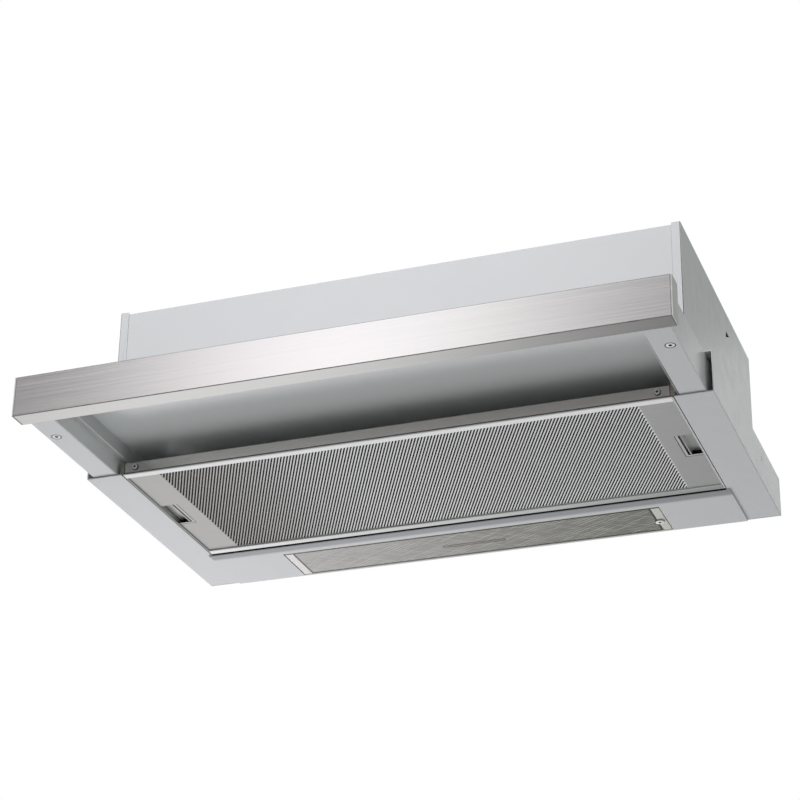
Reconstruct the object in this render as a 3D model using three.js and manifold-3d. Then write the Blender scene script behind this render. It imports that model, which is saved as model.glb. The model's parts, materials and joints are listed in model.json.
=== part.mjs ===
// A pull-out range hood for a 600 mm kitchen cabinet, drawn with its drawer out.
//
// The frame: X runs to the right seen from the front, Y to the back and Z up, in millimetres.
// The origin is the middle of the back panel's face, level with the two ledges that bear
// against the undersides of the cabinet's sides. The drawer slides towards +Y to close.
//
// A wide, low body holds the drawer, the grease filter and the lamp. A narrower box stands on
// it inside the cabinet and holds the fan, the motor and the electrical parts.

import * as THREE from 'three';
import { mergeVertices } from 'three/addons/utils/BufferGeometryUtils.js';
import Module from 'manifold-3d';

// ---------------------------------------------------------------- driving sizes, millimetres

const gap = 0.3;                    // left between two pieces that touch
const through = 3;                  // how far a cutting tool runs past what it cuts

// Housing
const bodyWidth = 597;
const bodyDepth = 284;
const bodyHeight = 39.5;
const ledgeWidth = 22.75;           // bears against the cabinet's side
const boxHeight = 133;
const sheet = 1;                    // folded steel
const filterReturn = 9;             // the wall that stands up from that flange
const boxFlange = 8.5;              // front flange of the upper box's sides
const frontPanelRecess = 0.4;
const frontPanelDrop = 2;           // its top edge lies this far under the sides' top edges
const panelFold = 12;
const boxFlangeFoot = 2;            // that flange starts this far above the ledge
const clipHoleFromBack = 106;
const clipHoleDrop = 22.5;          // below the side's top edge
const clipHoleShape = [[-1, -6], [0, 1], [15, 1.5]];
const sideSlotFromBack = 83.5;      // small slot in the low outer wall
const sideSlotWidth = 1.5;
const sideSlotRise = 21;
const sideSlotHeight = 6;
const deckLift = 2.3;               // inner deck above the ledges
const deckOpeningWidth = 400;
const deckOpeningRear = 62;         // rear edge of that opening, from the back
const deckOpeningDepth = 164;

// Rear bottom panel and the lamp's opening in it
const rearPanelDepth = 79;
const rearPanelOverlap = 3;         // laps under each side flange
const rearPanelSheet = 0.8;
const rearPanelLip = 12;
const lampOpeningLength = 386;
const lampOpeningDepth = 56.5;
const lampOpeningRear = 3;

// Drawer
const drawerTravel = 126;
const closedGap = 0.4;
const fasciaOverhang = 0.5;         // beyond the body on each side
const fasciaHeight = 38.6;
const fasciaDepth = 18.9;
const fasciaDrop = 0.8;             // bottom edge below the body's flange
const endCap = 1.2;
const railWidth = 24;
const railSideGap = 5.5;
const railFloat = 0.4;              // above the body's flange
const railTopGap = 1;
const railLipRise = 16;
const railLipWidth = 3.4;
const railLipGap = 1.6;             // to the wall beside the filter
const trayDrop = 6.3;               // underside of the tray below the ledges
const traySheet = 0.8;
const trayPastFront = 59;           // how far the tray reaches behind the body's front
const traySideGap = 1.7;
const trayFlangeGap = 0.6;

// Telescopic runners
const runnerWidth = 13.4;
const runnerWall = 1.2;
const runnerDepth = 18.6;
const runnerLip = 3;
const runnerPlay = 0.7;
const runnerHead = 4;
const runnerWeb = 2.4;
const runnerBase = 10;
const runnerBaseThickness = 2;
const runnerRearGap = 5;
const runnerInset = 4;              // fixed runner behind the body's front
const runnerOffset = 3;             // outwards from the rail's middle
const runnerWebStart = 15;          // behind the fascia
const runnerPlateDrop = 3;
const runnerReliefHalf = 3.4;       // round the rail screw
const runnerReliefLength = 8;
const railScrewFromFascia = 35.5;
const railScrewHead = 4;            // radius
const railScrewShank = 2;           // radius
const railScrewCone = 1.2;          // height of the countersunk head
const railScrewLength = 8;
const railSeatDepth = 1.7;

// Controls in the fascia's top return
const controlCentreX = 205;
const controlWidth = 96;
const controlHeight = 14;
const controlRearGap = 2;
const controlSlotDepth = 6;
const controlGroove = 7;            // how deep the grooves under the slots are
const controlSlotMargin = 8;        // from a slot to the housing's end
const fanSlotLength = 44;
const lightSlotLength = 26;
const knobLength = 12;
const knobDepth = 4.8;
const knobRise = 2.6;
const knobStemLength = 4;
const knobStemDepth = 3.6;
const knobStartGap = 1;

// Door switch at the end of the right runner
const switchDepth = 17.5;
const switchWidth = 16;
const switchHeight = 12;
const switchOffset = 5;             // outwards from its plunger
const switchRise = 8;               // of the plunger above the rail's floor
const plungerFromRail = 0.5;        // outwards from the rail's inner face
const plungerSide = 4;
const plungerLength = 8;
const plungerWell = 10;             // depth of its bore
const plungerReach = 2;

// Cross member in front of the filter
const crossHeight = 10.5;
const crossLift = 1.4;
const crossFold = 9;
const crossEndGap = 3;
const crossRecess = 0.5;
const crossScrewInset = 14;
const crossScrewDrop = 5.5;
const crossScrewRadius = 2.6;
const crossScrewHead = 1.6;
const crossScrewShank = 1.6;        // radius
const crossScrewLength = 3.2;
const bracketWidth = 4.3;
const bracketRecess = 0.2;
const bracketSheet = 1.2;
const bracketArm = 13.8;
const bracketNotch = 1.7;           // cut for it in the return, from the front

// Grease filter
const filterSideGap = 1.3;
const filterHeight = 9;
const filterDrop = 0.5;             // lower face below the body's flange
const filterFrontGap = 0.7;
const filterRearGap = 2;
const filterRail = 8;
const filterWall = 1;
const filterFaceRecess = 1.5;
const filterFaceSheet = 0.8;
const filterEndPlate = 31.2;        // beside the mesh, under the latch
const filterPadDrop = 1.4;          // its top below the frame's
const pocketLength = 46;
const pocketDepth = 17;
const pocketOffset = 1.5;           // behind the middle of the filter
const latchTravel = 4;
const latchLip = 1.5;
const latchNose = 8;
const latchSheet = 1;
const latchDrop = 3.3;              // lower face of its plate below the frame's top
const latchPlay = 0.7;              // above and below the nose in its slots
const latchNoseMargin = 1;          // beside the nose in its slots
const latchEndGap = 1.5;
const latchSideGap = 0.8;
const latchNoseStop = 0.4;          // the nose ends this far short of the body's return

// Lamp
const lensEndGap = 0.8;
const lensSideGap = 0.45;
const lensSheet = 2;
const lensRim = 4.5;
const lensRecess = 0.2;
const lensRimInset = 3;
const lensRimWall = 1.5;
const diffuserInset = 9.2;          // from the lens's ends
const lensHingeInset = 4.2;
const lensHingeLift = 5.4;          // hinge axis above the lens's lower face
const lensPinRadius = 1;
const lugRadius = 2.6;
const lugLength = 4;
const lugFromMiddle = 20;
const lensScrewInset = 6.7;
const lensScrewBehindMiddle = 5.8;
const lensScrewHead = 4;            // radius
const lensScrewShank = 2;           // radius
const lensScrewDrop = 1.5;          // how far its head stands below the lens
const lensScrewLength = 6.6;
const tubeLength = 288;
const tubeRadius = 8;
const tubeCap = 12;
const tubeDrop = 3;                 // below the lamp tray's ceiling
const lampTrayHeight = 25;
const lampTraySheet = 0.8;
const lampTrayMargin = 4;           // beyond the opening on every side but the back
const lampArmWidth = 6;
const lampArmHalf = 2.2;            // beside the hinge axis, so that the lens swings past it
const lampArmWall = 0.8;            // below the pin's hole
const holderThickness = 11;
const holderDepth = 18;
const holderBelowTube = 7;

// Fan
const outletRadius = 60;
const ductFrontOfBack = 138;        // centre of the outlet, from the back
const ductDepth = 96;               // of the scroll's outlet, along Y
const scrollSideGap = 6;            // beside the wheel
const scrollWall = 1.5;
const scrollTongueGap = 4;          // outside the wheel
const scrollGrowth = 14;            // of its radius from the tongue to the outlet
const tongueInset = 3.037;          // of the front wall from the tongue
const scrollSink = 6.5;             // how far its belly hangs into the deck's opening
const scrollRoofGap = 0.4;
const scrollShoulder = 6;           // where the rear wall turns straight, above the axis
const scrollTongueAngle = 150;
const scrollSteps = 22;
const impellerRadius = 42;
const impellerWidth = 70;
const impellerBlades = 24;
const impellerDisc = 2;
const impellerRing = 2.5;
const impellerRingWidth = 7;
const hubRadius = 10;
const hubLength = 15;
const bladeDepth = 7;
const bladeThickness = 1.2;
const bladeInset = 3.9;             // its middle inside the rim
const bladeTilt = 32;               // degrees
const inletInset = 9;               // inside the wheel's rim
const inletLipRadius = 3;
const inletFlange = 6;
const motorRadius = 34;
const motorLength = 44;
const motorStandoff = 8;
const motorPlate = 2;
const motorPlateMargin = 5;
const motorLegRadius = 4;
const motorNoseRadius = 14;
const motorNoseLength = 7;
const shaftRadius = 4;
const shaftHoleMargin = 4;
const shaftReach = 12;              // into the motor
const collarHeight = 35;
const collarFlange = 10;
const collarWall = 1.6;
const collarFlangeSheet = 2;
const collarLedge = 4;
const collarLedgeHeight = 1.5;
const outletHoleInset = 3;          // hole in the top plate, inside the collar's outer radius
const flapThickness = 1.2;
const flapLift = 10;
const flapEdgeGap = 0.6;
const flapPinRadius = 1.5;
const sleeveWall = 1.2;
const sleeveLength = 24;
const sleeveGap = 2;                // between two sleeves that share the pin
const sleeveRelief = 1.2;           // between a sleeve and the other flap's straight edge

// Electrical parts
const glandFromSide = 75.75;        // from the box's right side
const glandFromBack = 36;
const cableHoleRadius = 4.5;
const glandThreadRadius = 7.9;
const glandThreadLength = 9;        // below the top plate
const glandCapRadius = 12;
const glandCapHeight = 3;
const glandNoseRadius = 9.5;
const glandTipRadius = 7;
const glandNoseLength = 10;
const terminalBoxWidth = 80;
const terminalBoxDepth = 48;
const terminalBoxHeight = 32;
const terminalBoxWall = 2;
const terminalBlockSize = [48, 16, 12];
const terminalWells = [-16, 0, 16];
const terminalWellWidth = 10;
const terminalWellFloor = 6;
const capacitorRadius = 15;
const capacitorLength = 52;
const capacitorFromSide = 145.75;   // its inner end, from the right side
const capacitorFromBack = 34;
const ballastLength = 110;
const ballastDepth = 28;
const ballastHeight = 20;
const ballastFromSide = 45.75;      // its outer end, from the left side
const ballastFromBack = 48;
const ballastFoot = 10;
const ballastFootInset = 6;
const ballastFootHeight = 2;

// ------------------------------------------------------------------------ places worked out

const halfBody = bodyWidth / 2;
const halfBox = halfBody - ledgeWidth;
const frontY = -bodyDepth;
const bottomZ = -bodyHeight;
const panelEndY = -sheet - gap;     // where the side panels stop short of the back panel

const fasciaHalf = halfBody + fasciaOverhang;
const fasciaRearY = frontY - closedGap - drawerTravel;
const fasciaFrontY = fasciaRearY - fasciaDepth;
const fasciaBottomZ = bottomZ - fasciaDrop;
const fasciaTopZ = fasciaBottomZ + fasciaHeight;

const railOuterX = halfBody - sheet - railSideGap;
const railInnerX = railOuterX - railWidth;
const openingHalf = railInnerX - railLipWidth - railLipGap;
const railBottomZ = bottomZ + sheet + railFloat;
const railTopZ = -sheet - railTopGap;
const railLipZ = railBottomZ + railLipRise;
const railRearY = -(switchDepth + gap + sheet + plungerReach + gap) - drawerTravel;
const runnerX = (railOuterX + railInnerX) / 2 + runnerOffset;

const filterHalf = openingHalf - filterSideGap;
const filterFrontY = frontY + filterFrontGap;
const filterRearY = -rearPanelDepth - filterRearGap;
const filterBottomZ = bottomZ - filterDrop;
const filterTopZ = filterBottomZ + filterHeight;
const filterFaceZ = filterBottomZ + filterFaceRecess;
const pocketY = (filterFrontY + filterRearY) / 2 + pocketOffset;
const crossTopZ = bottomZ + crossLift + crossHeight;

const deckTopZ = deckLift + sheet;
const topPlateZ = boxHeight - frontPanelDrop;       // upper face of the top plate
const topPlateUnderZ = topPlateZ - sheet;
const ductY = -ductFrontOfBack;
const glandY = -glandFromBack;
const glandX = halfBox - glandFromSide;
const scrollWidth = impellerWidth + 2 * scrollSideGap;
const scrollStart = impellerRadius + scrollTongueGap;
const scrollEnd = scrollStart + scrollGrowth;
const scrollTongue = THREE.MathUtils.degToRad(scrollTongueAngle);
const scrollThroat = scrollStart * Math.sin(scrollTongue);
const inletRadius = impellerRadius - inletInset;
const fanY = ductY - ductDepth / 2 - scrollStart * Math.cos(scrollTongue) - tongueInset;
const fanZ = deckTopZ + scrollEnd - scrollSink;

// ------------------------------------------------------------------------------ shape tools

const wasm = await Module();
wasm.setup();

// Moves every corner of a geometry to where place(x, y, z) puts it.
function placed(geometry, place) {
  const position = geometry.attributes.position;
  for (let i = 0; i < position.count; i += 1) {
    position.setXYZ(i, ...place(position.getX(i), position.getY(i), position.getZ(i)));
  }
  geometry.computeVertexNormals();
  return geometry;
}

function pulled(points, place) {
  const shape = new THREE.Shape(points.map(([u, v]) => new THREE.Vector2(u, v)));
  return placed(new THREE.ExtrudeGeometry(shape, { depth: 1, bevelEnabled: false }), place);
}

// An outline in Y and Z, pulled along X.
function alongX(points, x0, x1) {
  return pulled(points, (u, v, w) => [w < 0.5 ? x0 : x1, u, v]);
}

// An outline in X and Z, pulled along Y.
function alongY(points, y0, y1) {
  return pulled(points, (u, v, w) => [u, w < 0.5 ? y1 : y0, v]);
}

// An outline in X and Y, pulled along Z.
function alongZ(points, z0, z1) {
  return pulled(points, (u, v, w) => [u, v, w < 0.5 ? z0 : z1]);
}

function box(x0, x1, y0, y1, z0, z1) {
  return placed(new THREE.BoxGeometry(1, 1, 1), (x, y, z) => [
    x < 0 ? x0 : x1,
    y < 0 ? y0 : y1,
    z < 0 ? z0 : z1,
  ]);
}

// A round bar or cone frustum along an axis, from radius r0 to r1, through the point (u, v) of
// the other two axes.
function bar(axis, r0, r1, from, to, u, v, sides = 32) {
  const geometry = new THREE.CylinderGeometry(r1, r0, 1, sides);
  const end = (h) => (h < 0 ? from : to);
  if (axis === 'x') return placed(geometry, (x, h, z) => [end(h), u + z, v + x]);
  if (axis === 'y') return placed(geometry, (x, h, z) => [u + x, end(h), v + z]);
  return placed(geometry, (x, h, z) => [u + z, v + x, end(h)]);
}

const mergeDistance = 1e-4;
const overlap = 0.1;                // between two shapes that are joined into one piece

function solid(geometry) {
  const bare = geometry.clone();
  bare.deleteAttribute('normal');
  bare.deleteAttribute('uv');
  const merged = mergeVertices(bare, mergeDistance);
  const vertProperties = new Float32Array(merged.attributes.position.array);
  const triVerts = new Uint32Array(merged.index.array);
  return new wasm.Manifold(new wasm.Mesh({ numProp: 3, vertProperties, triVerts }));
}

function geometryOf(manifold) {
  const mesh = manifold.getMesh();
  const corners = new Float32Array(mesh.vertProperties);
  const geometry = new THREE.BufferGeometry();
  geometry.setAttribute('position', new THREE.BufferAttribute(corners, 3));
  geometry.setIndex(new THREE.BufferAttribute(new Uint32Array(mesh.triVerts), 1));
  const faceted = geometry.toNonIndexed();
  faceted.computeVertexNormals();
  return faceted;
}

function joined(...parts) {
  return geometryOf(parts.map(solid).reduce((all, next) => all.add(next)));
}

function without(base, ...tools) {
  return geometryOf(tools.map(solid).reduce((left, tool) => left.subtract(tool), solid(base)));
}

// The closed outline of a folded sheet: the given path is one face, and a positive thickness
// lies to the left of its direction.
function folded(path, thickness) {
  const unit = (a, b) => {
    const length = Math.hypot(b[0] - a[0], b[1] - a[1]);
    return [(b[0] - a[0]) / length, (b[1] - a[1]) / length];
  };
  const far = path.map((point, i) => {
    const before = unit(path[Math.max(i - 1, 0)], path[Math.max(i, 1)]);
    const last = path.length - 1;
    const after = unit(path[Math.min(i, last - 1)], path[Math.min(i + 1, last)]);
    const scale = thickness / (1 + before[0] * after[0] + before[1] * after[1]);
    return [point[0] - (before[1] + after[1]) * scale, point[1] + (before[0] + after[0]) * scale];
  });
  return [...path, ...far.reverse()];
}

// Points of an arc about a centre, angles in degrees.
function arc(cu, cv, radius, from, to, steps) {
  return Array.from({ length: steps + 1 }, (_, i) => {
    const angle = THREE.MathUtils.degToRad(from + (to - from) * i / steps);
    return [cu + radius * Math.cos(angle), cv + radius * Math.sin(angle)];
  });
}

// The same outline on the left, side -1, or on the right, side 1.
function sided(points, side) {
  return points.map(([x, other]) => [side * x, other]);
}

function sideBox(side, x0, x1, y0, y1, z0, z1) {
  return box(Math.min(side * x0, side * x1), Math.max(side * x0, side * x1), y0, y1, z0, z1);
}

// ------------------------------------------------------------------------------- materials

const finishes = {
  housing: { color: '#c6cacc', roughness: 0.45, metalness: 0.1 },
  brushed: { color: '#bdb9b6', roughness: 0.32, metalness: 1 },
  tray: { color: '#8d979c', roughness: 0.4, metalness: 0.6 },
  filter: { color: '#a09e9a', roughness: 0.4, metalness: 0.9 },
  mesh: { color: '#4b4b4a', roughness: 0.6, metalness: 0.8 },
  zinc: { color: '#a5a8aa', roughness: 0.4, metalness: 0.8 },
  screw: { color: '#d8d8d4', roughness: 0.25, metalness: 1 },
  lens: { color: '#a7a797', roughness: 0.3, metalness: 0 },
  tube: { color: '#f2f0e8', roughness: 0.4, metalness: 0 },
  darkPlastic: { color: '#2c2e30', roughness: 0.5, metalness: 0 },
  greyPlastic: { color: '#8f9294', roughness: 0.5, metalness: 0 },
  whitePlastic: { color: '#d9d8d2', roughness: 0.5, metalness: 0 },
};

const sides = { left: -1, right: 1 };

function piece(group, name, geometry, finish) {
  const mesh = new THREE.Mesh(geometry, new THREE.MeshStandardMaterial(finishes[finish]));
  mesh.name = name;
  group.add(mesh);
  return mesh;
}

// --------------------------------------------------------------------------------- housing

// One folded sheet: return, bottom flange, low outer wall, ledge and the upper box's side,
// with a front flange, a lanced clip hole and a small slot.
function sidePanel(side) {
  const path = [
    [openingHalf, bottomZ + filterReturn],
    [openingHalf, bottomZ],
    [halfBody, bottomZ],
    [halfBody, 0],
    [halfBox, 0],
    [halfBox, boxHeight],
  ];
  const wall = alongY(sided(folded(path, sheet), side), frontY, panelEndY);
  const flange = sideBox(side, halfBox - boxFlange, halfBox - sheet / 2, frontY, frontY + sheet,
    boxFlangeFoot, boxHeight);
  const clipPoints = clipHoleShape.map(([y, z]) => [y - clipHoleFromBack, boxHeight - clipHoleDrop + z]);
  const clipHole = alongX(clipPoints, side * halfBox - through, side * halfBox + through);
  const slot = sideBox(side, halfBody - through, halfBody + through, -sideSlotFromBack - sideSlotWidth / 2,
    -sideSlotFromBack + sideSlotWidth / 2, bottomZ + sideSlotRise, bottomZ + sideSlotRise + sideSlotHeight);
  const notch = sideBox(side, openingHalf - through, openingHalf + sheet + gap, frontY - through,
    frontY + bracketNotch, bottomZ + sheet, bottomZ + filterReturn + through);
  return without(joined(wall, flange), clipHole, slot, latchSlot(side, openingHalf), notch);
}

// The slot that a latch's nose goes through in an upright wall at x.
function latchSlot(side, x) {
  const half = latchNose / 2 + latchNoseMargin;
  return sideBox(side, x - through, x + through, pocketY - half, pocketY + half, latchPlateZ - latchPlay,
    latchPlateZ + latchSheet + latchPlay);
}

function backPanel() {
  const right = [[halfBody, bottomZ], [halfBody, 0], [halfBox, 0], [halfBox, boxHeight]];
  const outline = [...right, ...sided(right, -1).reverse()];
  return alongY(outline, -sheet, 0);
}

function frontPanel() {
  const y = frontY + frontPanelRecess;
  const path = [[y + panelFold, sheet], [y, sheet], [y, topPlateZ]];
  const half = halfBox - boxFlange - gap;
  return alongX(folded(path, -sheet), -half, half);
}

function topPlate() {
  const y0 = frontY + frontPanelRecess + sheet + gap;
  const path = [
    [y0, topPlateZ - panelFold],
    [y0, topPlateZ],
    [panelEndY, topPlateZ],
    [panelEndY, topPlateZ - panelFold],
  ];
  const half = halfBox - sheet - gap;
  const plate = alongX(folded(path, -sheet), -half, half);
  const holeAt = (radius, x, y) => bar('z', radius, radius, topPlateUnderZ - through, topPlateZ + through,
    x, y, 48);
  const outlet = holeAt(outletRadius - outletHoleInset, 0, ductY);
  const cable = holeAt(glandThreadRadius + gap, glandX, glandY);
  return without(plate, outlet, cable);
}

function innerDeck() {
  const half = halfBox - sheet - gap;
  const plate = box(-half, half, frontY + frontPanelRecess + sheet + gap, panelEndY, deckLift, deckTopZ);
  const rear = -deckOpeningRear;
  const opening = box(-deckOpeningWidth / 2, deckOpeningWidth / 2, rear - deckOpeningDepth, rear,
    deckLift - through, deckTopZ + through);
  return without(plate, opening);
}

const rearPanelTopZ = bottomZ - gap;
const rearPanelBottomZ = rearPanelTopZ - rearPanelSheet;

// Laps under the side flanges, with a lip that closes the space behind the filter.
function rearBottomPanel() {
  const half = openingHalf + rearPanelOverlap;
  const plate = box(-half, half, -rearPanelDepth, 0, rearPanelBottomZ, rearPanelTopZ);
  const lipHalf = openingHalf - gap;
  const lip = box(-lipHalf, lipHalf, -rearPanelDepth, -rearPanelDepth + rearPanelSheet,
    rearPanelBottomZ, rearPanelBottomZ + rearPanelLip);
  const opening = box(-lampOpeningLength / 2, lampOpeningLength / 2, -lampOpeningRear - lampOpeningDepth,
    -lampOpeningRear, rearPanelBottomZ - through, rearPanelTopZ + through);
  return without(joined(plate, lip), opening);
}

const crossHalf = openingHalf - crossEndGap;
const crossY = frontY + crossRecess;
const crossScrewX = openingHalf - crossScrewInset;
const crossScrewZ = crossTopZ - crossScrewDrop;

function crossMember() {
  const z0 = bottomZ + crossLift;
  const path = [[crossY, z0], [crossY, crossTopZ], [crossY + crossFold, crossTopZ]];
  const hole = crossScrewShank + gap;
  const holes = [-1, 1].map((side) => bar('y', hole, hole, crossY - through, crossY + sheet + gap,
    side * crossScrewX, crossScrewZ, 16));
  return without(alongX(folded(path, -sheet), -crossHalf, crossHalf), ...holes);
}

// Holds one end of the cross member on the return beside the filter.
function crossBracket(side) {
  const x0 = crossHalf + gap;
  const x1 = x0 + bracketWidth;
  const y0 = frontY + bracketRecess;
  const top = bottomZ + crossLift + crossHeight + sheet;
  const plate = sideBox(side, x0, x1, y0, y0 + bracketSheet, bottomZ + crossLift, top);
  const arm = sideBox(side, x0, x1, y0, y0 + bracketArm, bottomZ + filterReturn + gap, top);
  return joined(plate, arm);
}

function crossScrew() {
  const head = bar('y', crossScrewRadius, crossScrewRadius * 0.9, -crossScrewHead, 0, 0, 0, 20);
  const shank = bar('y', crossScrewShank, crossScrewShank, -overlap, crossScrewLength, 0, 0, 16);
  return joined(head, shank);
}

// ------------------------------------------------------------------------------- runners

const fixedRunnerTopZ = -sheet - gap;
const fixedRunnerBottomZ = fixedRunnerTopZ - runnerDepth;

function fixedRunner(side) {
  const half = runnerWidth / 2;
  const path = [
    [runnerX - half + runnerLip, fixedRunnerBottomZ],
    [runnerX - half, fixedRunnerBottomZ],
    [runnerX - half, fixedRunnerTopZ],
    [runnerX + half, fixedRunnerTopZ],
    [runnerX + half, fixedRunnerBottomZ],
    [runnerX + half - runnerLip, fixedRunnerBottomZ],
  ];
  return alongY(sided(folded(path, -runnerWall), side), frontY + runnerInset, panelEndY - runnerRearGap);
}

const runnerBaseZ = railBottomZ + sheet + gap;
const railScrewY = fasciaRearY + railScrewFromFascia;

// Base strip screwed to the rail, web and head in the fixed runner, and the front plate that
// the fascia is fixed to.
function movingRunner(side) {
  const rearY = railRearY - runnerRearGap;
  const frontEnd = fasciaFrontY + sheet + gap;
  const headHalf = runnerWidth / 2 - runnerWall - runnerPlay;
  const lipTopZ = fixedRunnerBottomZ + runnerWall + runnerPlay;
  const webY = fasciaRearY + runnerWebStart;
  const baseTopZ = runnerBaseZ + runnerBaseThickness;
  const at = (half, y0, y1, z0, z1) => sideBox(side, runnerX - half, runnerX + half, y0, y1, z0, z1);
  const base = at(runnerBase / 2, frontEnd, rearY, runnerBaseZ, baseTopZ);
  const web = at(runnerWeb / 2, webY, rearY, runnerBaseZ + overlap, lipTopZ + overlap);
  const head = at(headHalf, webY, rearY, lipTopZ, lipTopZ + runnerHead);
  const plate = at(runnerBase / 2, frontEnd, frontEnd + runnerBaseThickness, runnerBaseZ + overlap,
    fasciaTopZ - sheet - runnerPlateDrop);
  const hole = railScrewShank + gap;
  const holeTopZ = railBottomZ + railScrewLength + gap;
  const screwHole = bar('z', hole, hole, runnerBaseZ - through, holeTopZ, side * runnerX, railScrewY, 20);
  const reliefY = railScrewY - runnerReliefLength / 2;
  const relief = at(runnerReliefHalf, reliefY, reliefY + runnerReliefLength, baseTopZ, holeTopZ);
  return without(joined(base, web, head, plate), screwHole, relief);
}

// ------------------------------------------------------------------------------- drawer

function fascia() {
  const path = [
    [fasciaRearY, fasciaTopZ],
    [fasciaFrontY, fasciaTopZ],
    [fasciaFrontY, fasciaBottomZ],
    [fasciaRearY, fasciaBottomZ],
  ];
  const half = fasciaHalf - endCap - gap;
  const slotAt = (x, length) => box(x - length / 2, x + length / 2, controlY - controlSlotDepth / 2,
    controlY + controlSlotDepth / 2, fasciaTopZ - through, fasciaTopZ + through);
  return without(alongX(folded(path, sheet), -half, half),
    slotAt(fanSlotX, fanSlotLength), slotAt(lightSlotX, lightSlotLength));
}

function fasciaEnd(side) {
  const outer = fasciaHalf;
  return sideBox(side, outer - endCap, outer, fasciaFrontY, fasciaRearY, fasciaBottomZ, fasciaTopZ);
}

// An open channel: outer wall, floor, inner wall and the lip that the tray rests on.
function drawerRail(side) {
  const path = [
    [railOuterX, railTopZ],
    [railOuterX, railBottomZ],
    [railInnerX, railBottomZ],
    [railInnerX, railLipZ],
    [railInnerX - railLipWidth, railLipZ],
  ];
  const channel = alongY(sided(folded(path, -sheet), side), fasciaRearY + gap, railRearY);
  const seat = bar('z', railScrewHead + 2 * gap, railScrewShank + gap, railBottomZ - gap,
    railBottomZ + railSeatDepth, side * runnerX, railScrewY, 32);
  return without(channel, seat);
}

// Countersunk, its face flush with the rail's floor.
function railScrew() {
  const head = bar('z', railScrewHead, railScrewShank, 0, railScrewCone, 0, 0, 32);
  const shank = bar('z', railScrewShank, railScrewShank, railScrewCone - overlap, railScrewLength, 0, 0, 20);
  return joined(head, shank);
}

const trayHalf = railInnerX - railLipWidth - traySideGap;

function drawerTray() {
  const flangeZ = railLipZ + sheet + gap;
  const path = [
    [-railInnerX + trayFlangeGap, flangeZ],
    [-trayHalf, flangeZ],
    [-trayHalf, -trayDrop],
    [trayHalf, -trayDrop],
    [trayHalf, flangeZ],
    [railInnerX - trayFlangeGap, flangeZ],
  ];
  return alongY(folded(path, traySheet), fasciaRearY + gap, frontY + trayPastFront);
}

const fanSlotX = controlCentreX - controlWidth / 2 + fanSlotLength / 2 + controlSlotMargin;
const lightSlotX = controlCentreX + controlWidth / 2 - lightSlotLength / 2 - controlSlotMargin;
const knobStartInset = knobLength / 2 + knobStartGap;
const controlY = (fasciaFrontY + fasciaRearY) / 2;

// The switch box under the fascia's top return, open along two grooves for the sliders.
function controlHousing() {
  const top = fasciaTopZ - sheet - gap;
  const body = box(controlCentreX - controlWidth / 2, controlCentreX + controlWidth / 2,
    fasciaFrontY + sheet + gap, fasciaRearY - controlRearGap, top - controlHeight, top);
  const groove = (x, length) => box(x - length / 2, x + length / 2, controlY - controlSlotDepth / 2,
    controlY + controlSlotDepth / 2, top - controlGroove, top + through);
  return without(body, groove(fanSlotX, fanSlotLength), groove(lightSlotX, lightSlotLength));
}

function sliderKnob() {
  const low = fasciaTopZ - sheet - controlGroove;
  const halfLength = knobLength / 2;
  const capBottom = fasciaTopZ + gap;
  const stem = box(-knobStemLength / 2, knobStemLength / 2, -knobStemDepth / 2, knobStemDepth / 2, low,
    capBottom + overlap);
  const cap = box(-halfLength, halfLength, -knobDepth / 2, knobDepth / 2, capBottom, fasciaTopZ + knobRise);
  return joined(stem, cap);
}

// ------------------------------------------------------------------------------- door switch

const switchX = railInnerX + plungerFromRail;
const switchZ = railBottomZ + switchRise;
const switchFrontY = panelEndY + sheet - switchDepth;

function doorSwitch() {
  const middleX = switchX + switchOffset;
  const body = box(middleX - switchWidth / 2, middleX + switchWidth / 2, switchFrontY, panelEndY,
    switchZ - switchHeight / 2, switchZ + switchHeight / 2);
  const well = plungerSide / 2 + gap;
  const bore = box(switchX - well, switchX + well, switchFrontY - through, switchFrontY + plungerWell,
    switchZ - well, switchZ + well);
  return without(body, bore);
}

function switchPlunger() {
  const half = plungerSide / 2;
  const tipY = switchFrontY - plungerReach;
  return box(switchX - half, switchX + half, tipY, tipY + plungerLength, switchZ - half, switchZ + half);
}

// ------------------------------------------------------------------------------- filter

const filterInnerFrontY = filterFrontY + filterRail;
const filterInnerRearY = filterRearY - filterRail;
const ribX = filterHalf - filterEndPlate;

// A ring of two end rails and two side walls, with a rib beside each latch. The front rail's
// nose reaches under the cross member.
function filterFrame() {
  const noseTopZ = bottomZ + crossLift - gap;
  const uprightY = crossY + crossScrewLength + gap;
  const section = [
    [filterFrontY, filterBottomZ],
    [filterRearY, filterBottomZ],
    [filterRearY, filterTopZ],
    [uprightY, filterTopZ],
    [uprightY, noseTopZ],
    [filterFrontY, noseTopZ],
  ];
  const wallInnerX = filterHalf - filterWall;
  const cavity = (x0, x1, z0, z1) => box(x0, x1, filterInnerFrontY, filterInnerRearY, z0, z1);
  const low = filterBottomZ - through;
  const high = filterTopZ + through;
  const cuts = [
    cavity(-wallInnerX, wallInnerX, low, filterFaceZ + filterFaceSheet + gap),
    cavity(-ribX, ribX, low, high),
    cavity(ribX + filterWall, wallInnerX, low, high),
    cavity(-wallInnerX, -ribX - filterWall, low, high),
  ];
  const slots = Object.values(sides).map((side) => latchSlot(side, filterHalf));
  return without(alongX(section, -filterHalf, filterHalf), ...cuts, ...slots);
}

// The lower sheet; its middle is the perforated field, and each end has a latch pocket.
function filterFace() {
  const half = filterHalf - filterWall - gap;
  const plate = box(-half, half, filterInnerFrontY + gap, filterInnerRearY - gap, filterFaceZ,
    filterFaceZ + filterFaceSheet);
  const pockets = Object.values(sides).map((side) => sideBox(side, half - pocketDepth, half + through,
    pocketY - pocketLength / 2, pocketY + pocketLength / 2, filterFaceZ - through, filterFaceZ + through));
  return without(plate, ...pockets);
}

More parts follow.
